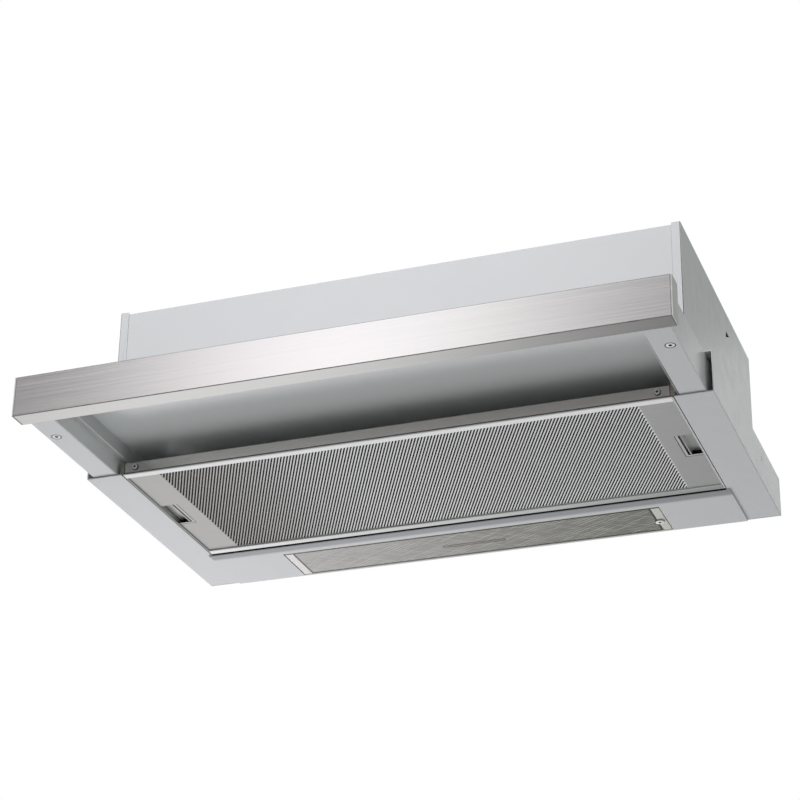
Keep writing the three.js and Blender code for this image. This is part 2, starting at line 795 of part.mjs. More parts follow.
const padBottomZ = filterFaceZ + filterFaceSheet + gap;
const padTopZ = filterTopZ - filterPadDrop;

function filterPad() {
  const half = ribX - gap;
  return box(-half, half, filterInnerFrontY + gap, filterInnerRearY - gap, padBottomZ, padTopZ);
}

function filterBackSheet() {
  const half = ribX - gap;
  return box(-half, half, filterInnerFrontY + gap, filterInnerRearY - gap, padTopZ + gap,
    padTopZ + gap + filterFaceSheet);
}

const latchInnerX = filterHalf - filterWall - gap - pocketDepth + latchTravel + latchSideGap + 0.2;
const latchPlateZ = filterTopZ - latchDrop;

// A finger lip in the pocket, a plate above it and the nose that holds the filter up.
function filterLatch(side) {
  const halfLength = pocketLength / 2 - latchEndGap;
  const outer = filterHalf - filterWall - latchSideGap;
  const top = latchPlateZ + latchSheet;
  const at = (x0, x1, half, z0) => sideBox(side, x0, x1, pocketY - half, pocketY + half, z0, top);
  const lip = at(latchInnerX, latchInnerX + latchLip, halfLength, filterFaceZ + gap);
  const plate = at(latchInnerX, outer, halfLength, latchPlateZ);
  const nose = at(outer - overlap, openingHalf - latchNoseStop, latchNose / 2, latchPlateZ);
  return joined(lip, plate, nose);
}

// ------------------------------------------------------------------------------- lamp

const lensMiddleY = -lampOpeningRear - lampOpeningDepth / 2;
const lensHalf = lampOpeningLength / 2 - lensEndGap;
const lensHalfDepth = lampOpeningDepth / 2 - lensSideGap;
const lensBottomZ = rearPanelBottomZ + lensRecess;
const lensHingeX = -lensHalf + lensHingeInset;
const lensHingeZ = lensBottomZ + lensHingeLift;
const lensScrewX = lensHalf - lensScrewInset;
const lensScrewY = lensMiddleY + lensScrewBehindMiddle;
const lensPinHole = lensPinRadius + gap;

// A clear moulding: base, raised rim round the diffuser and two hinge lugs at the left end.
function lampLens() {
  const y0 = lensMiddleY - lensHalfDepth;
  const y1 = lensMiddleY + lensHalfDepth;
  const top = lensBottomZ + lensSheet;
  const base = box(-lensHalf, lensHalf, y0, y1, lensBottomZ, top);
  const rimHalf = lensHalf - diffuserInset;
  const rimAt = (inset, z0, z1) => box(-rimHalf + inset, rimHalf - inset,
    y0 + lensRimInset + inset, y1 - lensRimInset - inset, z0, z1);
  const rim = without(
    rimAt(0, top - overlap, top + lensRim),
    rimAt(lensRimWall, top, top + lensRim + through),
  );
  const lugs = [-lugFromMiddle, lugFromMiddle].map((offset) => box(lensHingeX - lugRadius,
    lensHingeX + lugRadius, lensMiddleY + offset - lugLength / 2, lensMiddleY + offset + lugLength / 2,
    top - overlap, lensHingeZ + lugRadius));
  const pinHole = bar('y', lensPinHole, lensPinHole, y0, y1, lensHingeX, lensHingeZ, 20);
  const hole = lensScrewShank + gap;
  const screwHole = bar('z', hole, hole, lensBottomZ - through, top + through, lensScrewX, lensScrewY, 20);
  return without(joined(base, rim, ...lugs), pinHole, screwHole);
}

function lensScrew() {
  const seat = lensBottomZ - gap;
  const head = bar('z', lensScrewHead, lensScrewHead, lensBottomZ - lensScrewDrop, seat, lensScrewX,
    lensScrewY, 28);
  const shank = bar('z', lensScrewShank, lensScrewShank, seat - overlap, lensBottomZ + lensScrewLength,
    lensScrewX, lensScrewY, 16);
  return joined(head, shank);
}

function lensHingePin() {
  const reach = lugFromMiddle + lugLength / 2 + 1.5;
  return bar('y', lensPinRadius, lensPinRadius, lensMiddleY - reach, lensMiddleY + reach, lensHingeX,
    lensHingeZ, 16);
}

const lampTrayBottomZ = rearPanelTopZ + gap;
const lampTrayTopZ = lampTrayBottomZ + lampTrayHeight;
const lampCeilingZ = lampTrayTopZ - lampTraySheet;
const lampTrayHalf = lampOpeningLength / 2 + lampTrayMargin;

// A reflector open below, with an arm for the lens's hinge pin and a boss for its screw.
function lampTray() {
  const y0 = -lampOpeningRear - lampOpeningDepth - lampTrayMargin;
  const y1 = panelEndY - gap;
  const t = lampTraySheet;
  const shell = without(
    box(-lampTrayHalf, lampTrayHalf, y0, y1, lampTrayBottomZ, lampTrayTopZ),
    box(-lampTrayHalf + t, lampTrayHalf - t, y0 + t, y1 - t, lampTrayBottomZ - through, lampCeilingZ),
  );
  const armY = lensMiddleY - lampArmWidth / 2;
  const arm = without(
    box(lensHingeX - lampArmHalf, lensHingeX + lampArmHalf, armY, armY + lampArmWidth,
      lensHingeZ - lensPinHole - lampArmWall, lampCeilingZ + overlap),
    bar('y', lensPinHole, lensPinHole, armY - through, armY + lampArmWidth + through, lensHingeX,
      lensHingeZ, 20),
  );
  const boss = bar('z', lensScrewHead, lensScrewHead, lensBottomZ + lensScrewLength + gap,
    lampCeilingZ + overlap, lensScrewX, lensScrewY, 20);
  return joined(shell, arm, boss);
}

const tubeZ = lampCeilingZ - tubeDrop - tubeRadius;

function lampTube() {
  const half = tubeLength / 2;
  const glass = bar('x', tubeRadius, tubeRadius, -half + overlap, half - overlap, 0, 0, 32);
  const capAt = (from, to) => bar('x', tubeRadius + gap, tubeRadius + gap, from, to, 0, 0, 32);
  return joined(glass, capAt(-half, -half + tubeCap), capAt(half - tubeCap, half));
}

function lampHolder(side) {
  const x0 = tubeLength / 2 + gap;
  const y0 = lensMiddleY - holderDepth / 2;
  return sideBox(side, x0, x0 + holderThickness, y0, y0 + holderDepth, tubeZ - holderBelowTube,
    lampCeilingZ - gap);
}

// ------------------------------------------------------------------------------- fan

const scrollTopZ = topPlateUnderZ - scrollRoofGap;

// The spiral from the tongue down, round and up to the outlet's rear wall; angles from +Y.
function scrollOutline(inset, top) {
  const spiral = Array.from({ length: scrollSteps + 1 }, (_, i) => {
    const share = i / scrollSteps;
    const angle = THREE.MathUtils.degToRad(scrollTongueAngle + (360 - scrollTongueAngle) * share);
    const radius = scrollStart + (scrollEnd - scrollStart) * share - inset;
    return [fanY + radius * Math.cos(angle), fanZ + radius * Math.sin(angle)];
  });
  const ductFront = ductY - ductDepth / 2 + inset;
  const ductRear = Math.max(ductY + ductDepth / 2, fanY + scrollEnd) - inset;
  return [
    ...spiral,
    [ductRear, fanZ + scrollShoulder],
    [ductRear, top],
    [ductFront, top],
    [ductFront, fanZ + scrollThroat],
  ];
}

function fanBar(r0, r1, from, to, count) {
  return bar('x', r0, r1, from, to, fanY, fanZ, count);
}

function scrollHousing() {
  const half = scrollWidth / 2;
  const outer = alongX(scrollOutline(0, scrollTopZ), -half, half);
  const inner = alongX(scrollOutline(scrollWall, scrollTopZ + through), -half + scrollWall, half + through);
  const inlet = fanBar(inletRadius, inletRadius, -half - through, -half + scrollWall + through, 40);
  return without(outer, inner, inlet);
}

const shaftHole = shaftRadius + shaftHoleMargin;

function scrollCover() {
  const x0 = scrollWidth / 2 + gap;
  const plate = alongX(scrollOutline(0, scrollTopZ), x0, x0 + scrollWall);
  return without(plate, fanBar(shaftHole, shaftHole, x0 - through, x0 + scrollWall + through, 24));
}

// A rounded ring that leads the air into the scroll.
function inletRing() {
  const lip = arc(inletRadius + inletLipRadius, 0, inletLipRadius, 90, 270, 6);
  const outer = inletRadius + inletLipRadius + inletFlange;
  const outline = [[outer, inletLipRadius], ...lip, [outer, -inletLipRadius], [outer, inletLipRadius]];
  const profile = outline.map(([radius, h]) => new THREE.Vector2(radius, h));
  const turned = new THREE.LatheGeometry(profile, 40).rotateZ(-Math.PI / 2);
  return turned.translate(-scrollWidth / 2 - gap - inletLipRadius, fanY, fanZ);
}

// Hub disc, front ring and forward-curved blades between them.
function impeller() {
  const half = impellerWidth / 2;
  const at = (radius, from, to, count) => bar('x', radius, radius, from, to, 0, 0, count);
  const disc = at(impellerRadius, half - impellerDisc, half, 48);
  const hub = at(hubRadius, half - hubLength, half - overlap, 24);
  const rim = without(
    at(impellerRadius, -half, -half + impellerRing, 48),
    at(impellerRadius - impellerRingWidth, -half - through, -half + impellerRing + through, 48),
  );
  const blades = Array.from({ length: impellerBlades }, (_, i) => {
    const blade = new THREE.BoxGeometry(impellerWidth - impellerDisc, bladeThickness, bladeDepth);
    blade.rotateX(THREE.MathUtils.degToRad(bladeTilt)).translate(0, 0, impellerRadius - bladeInset);
    return blade.rotateX(2 * Math.PI * i / impellerBlades);
  });
  const bore = at(shaftRadius + gap, half - hubLength - through, half + through, 24);
  return without(joined(disc, hub, rim, ...blades), bore);
}

const bracketX = scrollWidth / 2 + gap + scrollWall + gap;
const motorPlateX = bracketX + motorStandoff;
const motorX = motorPlateX + motorPlate + gap;

function motorShaft() {
  return bar('x', shaftRadius, shaftRadius, impellerWidth / 2 - hubLength, motorX + shaftReach, 0, 0, 24);
}

// A disc on three standoffs against the scroll's cover.
function motorBracket() {
  const radius = motorRadius + motorPlateMargin;
  const disc = fanBar(radius, radius, motorPlateX, motorPlateX + motorPlate, 48);
  const legs = [90, 210, 330].map((degrees) => {
    const angle = THREE.MathUtils.degToRad(degrees);
    const y = fanY + motorRadius * Math.cos(angle);
    const z = fanZ + motorRadius * Math.sin(angle);
    return bar('x', motorLegRadius, motorLegRadius, bracketX, motorPlateX + overlap, y, z, 16);
  });
  const bore = fanBar(shaftHole, shaftHole, motorPlateX - through, motorPlateX + motorPlate + through, 24);
  return without(joined(disc, ...legs), bore);
}

function motorBody() {
  const rearX = motorX + motorLength;
  const can = fanBar(motorRadius, motorRadius, motorX, rearX, 48);
  const nose = fanBar(motorNoseRadius, motorNoseRadius * 0.8, rearX - overlap, rearX + motorNoseLength, 32);
  const bore = fanBar(shaftRadius + gap, shaftRadius + gap, motorX - through, motorX + shaftReach + gap, 24);
  return without(joined(can, nose), bore);
}

const collarBottomZ = topPlateZ + gap;
const flapZ = collarBottomZ + flapLift;
const flapPinHole = flapPinRadius + gap;

function ductRing(z0, z1, inner, outer) {
  const outside = bar('z', outer, outer, z0, z1, 0, ductY, 64);
  return without(outside, bar('z', inner, inner, z0 - through, z1 + through, 0, ductY, 64));
}

// Duct spigot with its flange and the ledge that the flaps close on.
function outletCollar() {
  const inner = outletRadius - collarWall;
  const flangeTopZ = collarBottomZ + collarFlangeSheet;
  const ledgeTopZ = flapZ - flapThickness / 2 - gap;
  const flange = ductRing(collarBottomZ, flangeTopZ, inner, outletRadius + collarFlange);
  const tube = ductRing(flangeTopZ - overlap, collarBottomZ + collarHeight, inner, outletRadius);
  const ledge = ductRing(ledgeTopZ - collarLedgeHeight, ledgeTopZ, inner - collarLedge, inner + overlap);
  const pinHole = bar('x', flapPinHole, flapPinHole, -outletRadius - through, outletRadius + through,
    ductY, flapZ, 20);
  return without(joined(flange, tube, ledge), pinHole);
}

function flapPin() {
  const reach = outletRadius - overlap;
  return bar('x', flapPinRadius, flapPinRadius, -reach, reach, 0, 0, 20);
}

// A half disc with two sleeves round the pin; drawn about the pin, facing side -1 or 1 of it.
// The two flaps' sleeves take turns along the pin.
function damperFlap(side) {
  const radius = outletRadius - collarWall - flapEdgeGap;
  const sleeve = flapPinHole + sleeveWall;
  const edgeY = sleeve + sleeveRelief;
  const half = flapThickness / 2;
  const start = THREE.MathUtils.radToDeg(Math.asin(edgeY / radius));
  const outline = arc(0, 0, radius, start, 180 - start, 24).map(([x, y]) => [x, side * y]);
  const blade = alongZ(side > 0 ? outline : [...outline].reverse(), -half, half);
  const pitch = sleeveLength + sleeveGap / 2;
  const starts = side > 0 ? [-2 * pitch, sleeveGap / 2] : [-pitch, pitch + sleeveGap / 2];
  const sleeves = starts.flatMap((x0) => {
    const x1 = x0 + sleeveLength;
    const reach = side * (edgeY + overlap);
    const web = box(x0, x1, Math.min(0, reach), Math.max(0, reach), -half, half);
    return [bar('x', sleeve, sleeve, x0, x1, 0, 0, 20), web];
  });
  const bore = bar('x', flapPinHole, flapPinHole, -radius, radius, 0, 0, 20);
  return without(joined(blade, ...sleeves), bore);
}

// ------------------------------------------------------------------------------- electrical

// Open at the top, where the top plate closes it.
const terminalBoxTopZ = topPlateUnderZ - gap;
const terminalBoxFloorZ = terminalBoxTopZ - terminalBoxHeight + terminalBoxWall;

function terminalBox() {
  const at = (wall, z0, z1) => box(
    glandX - terminalBoxWidth / 2 + wall,
    glandX + terminalBoxWidth / 2 - wall,
    glandY - terminalBoxDepth / 2 + wall,
    glandY + terminalBoxDepth / 2 - wall,
    z0,
    z1,
  );
  return without(
    at(0, terminalBoxFloorZ - terminalBoxWall, terminalBoxTopZ),
    at(terminalBoxWall, terminalBoxFloorZ, terminalBoxTopZ + through),
  );
}

function terminalBlock() {
  const [length, depth, height] = terminalBlockSize;
  const block = box(-length / 2, length / 2, -depth / 2, depth / 2, 0, height);
  const wells = terminalWells.map((x) => box(x - terminalWellWidth / 2, x + terminalWellWidth / 2,
    -depth / 2 - through, depth / 2 + through, terminalWellFloor, height + through));
  return without(block, ...wells).translate(glandX, glandY, terminalBoxFloorZ + gap);
}

function cableGland() {
  const capZ = topPlateZ + gap;
  const noseZ = capZ + glandCapHeight;
  const tipZ = noseZ + glandNoseLength;
  const threadZ = topPlateUnderZ - glandThreadLength;
  const at = (r0, r1, from, to, count) => bar('z', r0, r1, from, to, glandX, glandY, count);
  const cap = at(glandCapRadius, glandCapRadius, capZ, noseZ, 6);
  const nose = at(glandNoseRadius, glandTipRadius, noseZ - overlap, tipZ, 24);
  const thread = at(glandThreadRadius, glandThreadRadius, threadZ, capZ + overlap, 24);
  const hole = at(cableHoleRadius, cableHoleRadius, threadZ - through, tipZ + through, 24);
  return without(joined(cap, nose, thread), hole);
}

function capacitor() {
  const z = deckTopZ + gap + capacitorRadius;
  const x0 = halfBox - capacitorFromSide;
  return bar('x', capacitorRadius, capacitorRadius, x0, x0 + capacitorLength,
    -capacitorFromBack, z, 32);
}

function ballast() {
  const z = deckTopZ + gap;
  const x0 = -halfBox + ballastFromSide;
  const x1 = x0 + ballastLength;
  const y0 = -ballastFromBack;
  const y1 = y0 + ballastDepth;
  const body = box(x0, x1, y0, y1, z, z + ballastHeight);
  const feet = box(x0 - ballastFoot, x1 + ballastFoot, y0 + ballastFootInset, y1 - ballastFootInset, z,
    z + ballastFootHeight);
  return joined(body, feet);
}

// ------------------------------------------------------------------------------- assembly

const hood = new THREE.Group();
const housing = new THREE.Group();
const drawer = new THREE.Group();
const filter = new THREE.Group();
const lamp = new THREE.Group();
const fan = new THREE.Group();
const electrics = new THREE.Group();
hood.add(housing, drawer, filter, lamp, fan, electrics);

piece(housing, 'back_panel', backPanel(), 'housing');
piece(housing, 'front_panel', frontPanel(), 'housing');
piece(housing, 'top_plate', topPlate(), 'housing');
piece(housing, 'inner_deck', innerDeck(), 'zinc');
piece(housing, 'rear_bottom_panel', rearBottomPanel(), 'housing');
piece(housing, 'cross_member', crossMember(), 'brushed');
for (const [name, side] of Object.entries(sides)) {
  piece(housing, `side_panel_${name}`, sidePanel(side), 'housing');
  piece(housing, `cross_bracket_${name}`, crossBracket(side), 'zinc');
  const screw = piece(housing, `cross_screw_${name}`, crossScrew(), 'screw');
  screw.position.set(side * crossScrewX, crossY - gap, crossScrewZ);
  piece(housing, `fixed_runner_${name}`, fixedRunner(side), 'zinc');
}

piece(drawer, 'fascia', fascia(), 'brushed');
piece(drawer, 'drawer_tray', drawerTray(), 'tray');
piece(drawer, 'control_housing', controlHousing(), 'darkPlastic');
for (const [name, side] of Object.entries(sides)) {
  piece(drawer, `fascia_end_${name}`, fasciaEnd(side), 'greyPlastic');
  piece(drawer, `drawer_rail_${name}`, drawerRail(side), 'housing');
  piece(drawer, `moving_runner_${name}`, movingRunner(side), 'zinc');
  const screw = piece(drawer, `rail_screw_${name}`, railScrew(), 'screw');
  screw.position.set(side * runnerX, railScrewY, railBottomZ);
}
const fanKnob = piece(drawer, 'fan_speed_slider', sliderKnob(), 'darkPlastic');
fanKnob.position.set(fanSlotX - fanSlotLength / 2 + knobStartInset, controlY, 0);
const lightKnob = piece(drawer, 'light_slider', sliderKnob(), 'darkPlastic');
lightKnob.position.set(lightSlotX - lightSlotLength / 2 + knobStartInset, controlY, 0);

piece(filter, 'filter_frame', filterFrame(), 'filter');
piece(filter, 'filter_face_sheet', filterFace(), 'filter');
piece(filter, 'filter_mesh_pad', filterPad(), 'mesh');
piece(filter, 'filter_back_sheet', filterBackSheet(), 'filter');
for (const [name, side] of Object.entries(sides)) {
  piece(filter, `filter_latch_${name}`, filterLatch(side), 'filter');
}

piece(lamp, 'lamp_lens', lampLens(), 'lens');
piece(lamp, 'lens_screw', lensScrew(), 'screw');
piece(lamp, 'lens_hinge_pin', lensHingePin(), 'screw');
piece(lamp, 'lamp_tray', lampTray(), 'whitePlastic');
const tube = piece(lamp, 'lamp_tube', lampTube(), 'tube');
tube.position.set(0, lensMiddleY, tubeZ);
for (const [name, side] of Object.entries(sides)) {
  piece(lamp, `lamp_holder_${name}`, lampHolder(side), 'whitePlastic');
}

piece(fan, 'scroll_housing', scrollHousing(), 'greyPlastic');
piece(fan, 'scroll_cover', scrollCover(), 'greyPlastic');
piece(fan, 'inlet_ring', inletRing(), 'greyPlastic');
const wheel = piece(fan, 'impeller', impeller(), 'darkPlastic');
wheel.position.set(0, fanY, fanZ);
const shaft = piece(fan, 'motor_shaft', motorShaft(), 'screw');
shaft.position.set(0, fanY, fanZ);
piece(fan, 'motor_bracket', motorBracket(), 'zinc');
piece(fan, 'motor_body', motorBody(), 'zinc');
piece(fan, 'outlet_collar', outletCollar(), 'darkPlastic');
const pin = piece(fan, 'flap_pin', flapPin(), 'screw');
pin.position.set(0, ductY, flapZ);
for (const [name, side] of [['front', -1], ['rear', 1]]) {
  const flap = piece(fan, `damper_flap_${name}`, damperFlap(side), 'darkPlastic');
  flap.position.set(0, ductY, flapZ);
}

piece(electrics, 'terminal_box', terminalBox(), 'whitePlastic');
piece(electrics, 'terminal_block', terminalBlock(), 'greyPlastic');
piece(electrics, 'cable_gland', cableGland(), 'darkPlastic');
piece(electrics, 'capacitor', capacitor(), 'whitePlastic');
piece(electrics, 'ballast', ballast(), 'zinc');
piece(electrics, 'door_switch', doorSwitch(), 'darkPlastic');
piece(electrics, 'switch_plunger', switchPlunger(), 'whitePlastic');

export default hood;
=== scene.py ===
"""A pull-out range hood of folded sheet metal, seen from below with its drawer out.

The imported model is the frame: X to the right seen from the front, Y to the back, Z up, with the
origin on the back panel at the height of the ledges that bear against the cabinet. Blender works
in metres. Tables of places and sizes on the pieces are in millimetres.
"""

import json
import math

import bmesh
import bpy
from mathutils import Matrix, Vector


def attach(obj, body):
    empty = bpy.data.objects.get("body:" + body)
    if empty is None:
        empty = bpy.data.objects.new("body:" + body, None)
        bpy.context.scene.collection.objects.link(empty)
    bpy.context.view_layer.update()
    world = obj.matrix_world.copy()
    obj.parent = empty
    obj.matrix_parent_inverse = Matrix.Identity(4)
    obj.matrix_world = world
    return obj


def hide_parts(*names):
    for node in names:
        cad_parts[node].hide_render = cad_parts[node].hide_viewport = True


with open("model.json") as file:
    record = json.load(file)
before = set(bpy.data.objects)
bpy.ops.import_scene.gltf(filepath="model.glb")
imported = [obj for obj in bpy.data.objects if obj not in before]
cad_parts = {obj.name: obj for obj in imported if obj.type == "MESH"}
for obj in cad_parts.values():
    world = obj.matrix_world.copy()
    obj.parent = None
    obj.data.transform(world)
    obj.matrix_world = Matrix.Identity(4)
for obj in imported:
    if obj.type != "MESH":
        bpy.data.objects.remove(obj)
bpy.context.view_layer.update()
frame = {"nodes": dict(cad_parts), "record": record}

MM = 0.001
NODES = frame["nodes"]
BODY_OF = {node: body for body, nodes in frame["record"]["behaviour"]["bodies"].items() for node in nodes}

# The camera that was solved from the photograph: its place in metres and its turns in degrees.
CAMERA_PLACE = (0.66481, -2.04083, -0.92371)
CAMERA_YAW = 20.371
CAMERA_PITCH = 26.135
CAMERA_ROLL = 0.915
CAMERA_LENS_MM = 104.40
SENSOR_WIDTH_MM = 36

# The floor in metres, how strongly a white card would glow, and the light from all around.
FLOOR_LEVEL = -2.45
FLOOR_REACH = 45
CARD_GLOW = 2.0
SOFT_LIGHT = (0.945, 1.0, 0.96, 1)
SOFT_STRENGTH = 0.48

# How light each card is at shares of its width, from the hood's left side to its right.
FRONT_GREYS = ((0.0, 0.02), (0.16, 0.04), (0.26, 0.17), (0.37, 0.62), (0.50, 0.83), (0.62, 0.70),
               (0.72, 0.40), (0.82, 0.17), (1.0, 0.08))
LOW_GREYS = ((0.0, 0.38), (0.19, 0.40), (0.27, 0.47), (0.40, 0.46), (0.50, 0.38), (0.60, 0.22),
             (0.70, 0.11), (1.0, 0.08))

# Depths between which the painted shadow along the rear panel's front edge fades out, in metres.
LIP_SHADOW_BAND = (-0.0700, -0.0635)

# The lens's face in metres: the field of prisms, the front rim's band and the plain nameplate.
PRISMS_HALF_LENGTH = 0.1830
PRISMS_MIDDLE_DEPTH = -0.03125
PRISMS_HALF_DEPTH = 0.0262
FRONT_RIM_BAND = (-0.0572, -0.0562)
NAMEPLATE_MIDDLE = (-0.0020, -0.02855)
NAMEPLATE_HALF_SIZE = (0.0320, 0.00205)

# An edge at least this sharp is a fold. Triangles that meet more flatly than this are one face.
FOLD_ANGLE = math.radians(28)
FLAT_ANGLE = math.radians(0.4)
# Corners this close are one corner. Folds that would get a smaller rounding than this stay sharp.
SAME_CORNER = 2e-6
LEAST_ROUNDING = 0.06 * MM
FOLD_STEPS = 2
ROLL_STEPS = 4
RING_STEPS = 32


# ------------------------------------------------------------------------------- small tools

def tone(red, green, blue):
    """A screen colour, 0 to 255, as the linear colour that a socket takes."""
    def linear(level):
        share = level / 255
        return share / 12.92 if share <= 0.04045 else ((share + 0.055) / 1.055) ** 2.4
    return (linear(red), linear(green), linear(blue), 1)


def link(name, data):
    """A new object in the scene, of that mesh, lamp or camera."""
    made = bpy.data.objects.new(name, data)
    bpy.context.scene.collection.objects.link(made)
    return made


def feed(tree, socket, value):
    """Gives an input its value: another node's output, or a plain number or colour."""
    if isinstance(value, bpy.types.NodeSocket):
        tree.links.new(value, socket)
    else:
        socket.default_value = value


def put(tree, kind, inputs=None, **settings):
    """Adds a node, makes its settings and feeds its inputs."""
    made = tree.nodes.new(kind)
    for name, value in settings.items():
        setattr(made, name, value)
    for name, value in (inputs or {}).items():
        feed(tree, made.inputs[name], value)
    return made


def maths(tree, operation, first, second=0.0, clamp=False):
    made = put(tree, "ShaderNodeMath", {0: first, 1: second}, operation=operation, use_clamp=clamp)
    return made.outputs[0]


def times(tree, first, second, clamp=False):
    return maths(tree, "MULTIPLY", first, second, clamp)


def beyond(tree, value, middle, half):
    """How far a value lies outside the stretch around that middle; inside it is negative."""
    return maths(tree, "SUBTRACT", maths(tree, "ABSOLUTE", maths(tree, "SUBTRACT", value, middle)), half)


def axes(tree, vector):
    return put(tree, "ShaderNodeSeparateXYZ", {0: vector}).outputs


def scaled(tree, vector, factors):
    made = put(tree, "ShaderNodeVectorMath", {0: vector, 1: factors}, operation="MULTIPLY")
    return made.outputs[0]


def noise(tree, vector, scale, detail=2.0, roughness=0.5):
    made = put(tree, "ShaderNodeTexNoise", {
        "Vector": vector, "Scale": scale, "Detail": detail, "Roughness": roughness})
    return made.outputs["Fac"]


def spread(tree, value, low, high, to_low=0.0, to_high=1.0, smooth=True):
    """Maps the range from low to high onto another, softly at both ends or in a straight line."""
    made = put(tree, "ShaderNodeMapRange", {
        "Value": value, "From Min": low, "From Max": high, "To Min": to_low, "To Max": to_high},
        interpolation_type="SMOOTHSTEP" if smooth else "LINEAR")
    return made.outputs[0]


def mixed(tree, share, first, second, blend="MIX"):
    made = put(tree, "ShaderNodeMix", {0: share, 6: first, 7: second}, data_type="RGBA", blend_type=blend)
    return made.outputs[2]


def attribute(tree, name):
    return put(tree, "ShaderNodeAttribute", attribute_name=name).outputs["Fac"]


def group(name, takes, gives):
    """A shader node group with named sockets; returns it with its inner ends."""
    tree = bpy.data.node_groups.new(name, "ShaderNodeTree")
    kinds = {"vector": "NodeSocketVector", "colour": "NodeSocketColor", "value": "NodeSocketFloat"}
    for label, kind in takes:
        tree.interface.new_socket(label, in_out="INPUT", socket_type=kinds[kind])
    for label, kind in gives:
        tree.interface.new_socket(label, in_out="OUTPUT", socket_type=kinds[kind])
    start = tree.nodes.new("NodeGroupInput").outputs
    end = tree.nodes.new("NodeGroupOutput").inputs
    return tree, start, end


# ----------------------------------------------------------------------------------- studio

def make_camera():
    """The photograph's own view: from below, from the right, with a long lens."""
    yaw, pitch, roll = (math.radians(angle) for angle in (CAMERA_YAW, CAMERA_PITCH, CAMERA_ROLL))
    ahead = Vector((-math.sin(yaw) * math.cos(pitch), math.cos(yaw) * math.cos(pitch), math.sin(pitch)))
    level = Vector((math.cos(yaw), math.sin(yaw), 0))
    upright = level.cross(ahead)
    right = math.cos(roll) * level + math.sin(roll) * upright
    above = -math.sin(roll) * level + math.cos(roll) * upright
    data = bpy.data.cameras.new("photo_camera")
    data.sensor_width = SENSOR_WIDTH_MM
    data.lens = CAMERA_LENS_MM
    data.clip_start = 0.05
    data.clip_end = 60
    camera = link("photo_camera", data)
    turn = Matrix((right, above, -ahead)).transposed().to_4x4()
    camera.matrix_world = Matrix.Translation(CAMERA_PLACE) @ turn
    bpy.context.scene.camera = camera


def aimed(place, target):
    """The turn that points an object's own -Z from its place to the target."""
    return (Vector(target) - Vector(place)).to_track_quat("-Z", "Y").to_matrix().to_4x4()


def lamp(name, place, target, size, power, colour):
    """A soft rectangular lamp that neither the camera nor a reflection sees."""
    data = bpy.data.lights.new(name, "AREA")
    data.shape = "RECTANGLE"
    data.size, data.size_y = size
    data.energy = power
    data.color = colour
    made = link(name, data)
    made.matrix_world = Matrix.Translation(place) @ aimed(place, target)
    made.visible_camera = False
    made.visible_glossy = False


def rectangle(name, half_width, half_depth, level=0):
    """A level rectangle around the Z axis, facing up."""
    mesh = bpy.data.meshes.new(name)
    mesh.from_pydata([(-half_width, -half_depth, level), (half_width, -half_depth, level),
                      (half_width, half_depth, level), (-half_width, half_depth, level)],
                     [], [(0, 1, 2, 3)])
    return mesh


def even(grey):
    """The same grey over a card's whole width."""
    return ((0.0, grey), (1.0, grey))


def card(name, place, target, size, greys, tints=((1, 1, 1), (1, 1, 1))):
    """A card beside the lamps, shaded across its width, from its own left edge to its right.

    It shows in what shines and lights nothing.
    """
    half_width, half_height = size[0] / 2, size[1] / 2
    mesh = rectangle(name, half_width, half_height)
    made = link(name, mesh)
    made.matrix_world = Matrix.Translation(place) @ aimed(place, target)
    material = bpy.data.materials.new(name)
    material.use_nodes = True
    tree = material.node_tree
    tree.nodes.clear()
    across = axes(tree, put(tree, "ShaderNodeTexCoord").outputs["Object"])[0]
    ramp = put(tree, "ShaderNodeValToRGB", {
        0: spread(tree, across, -half_width, half_width, smooth=False)})
    stops = ramp.color_ramp.elements
    while len(stops) < len(greys):
        stops.new(0.5)
    for index, (at, grey) in enumerate(greys):
        stops[index].position = at
        stops[index].color = (*(grey * (first + at * (last - first)) for first, last in zip(*tints)), 1)
    glow = put(tree, "ShaderNodeEmission", {"Color": ramp.outputs[0], "Strength": CARD_GLOW})
    put(tree, "ShaderNodeOutputMaterial", {"Surface": glow.outputs[0]})
    mesh.materials.append(material)
    made.visible_camera = False
    made.visible_diffuse = False
    made.visible_shadow = False
    made.visible_transmission = False


def make_world():
    """White to the camera and in what mirrors or lets light through; dimmer as a light."""
    world = bpy.data.worlds.new("studio")
    bpy.context.scene.world = world
    world.use_nodes = True
    tree = world.node_tree
    tree.nodes.clear()
    path = put(tree, "ShaderNodeLightPath").outputs
    seen = maths(tree, "MAXIMUM", path["Is Camera Ray"], path["Is Glossy Ray"])
    seen = maths(tree, "MAXIMUM", seen, path["Is Transmission Ray"])
    soft = put(tree, "ShaderNodeBackground", {"Color": SOFT_LIGHT, "Strength": SOFT_STRENGTH})
    white = put(tree, "ShaderNodeBackground", {"Color": (1, 1, 1, 1), "Strength": 1.0})
    both = put(tree, "ShaderNodeMixShader", {0: seen, 1: soft.outputs[0], 2: white.outputs[0]})
    put(tree, "ShaderNodeOutputWorld", {"Surface": both.outputs[0]})


def make_floor():
    mesh = rectangle("studio_floor", FLOOR_REACH, FLOOR_REACH, FLOOR_LEVEL)
    floor = link("studio_floor", mesh)
    material, tree, surface, place = blank_finish("studio_floor")
    shade = mixed(tree, noise(tree, place, 0.8, 3), (0.72, 0.725, 0.72, 1), (0.75, 0.755, 0.75, 1))
    feed(tree, surface.inputs["Base Color"], shade)
    feed(tree, surface.inputs["Roughness"], 0.9)
    mesh.materials.append(material)


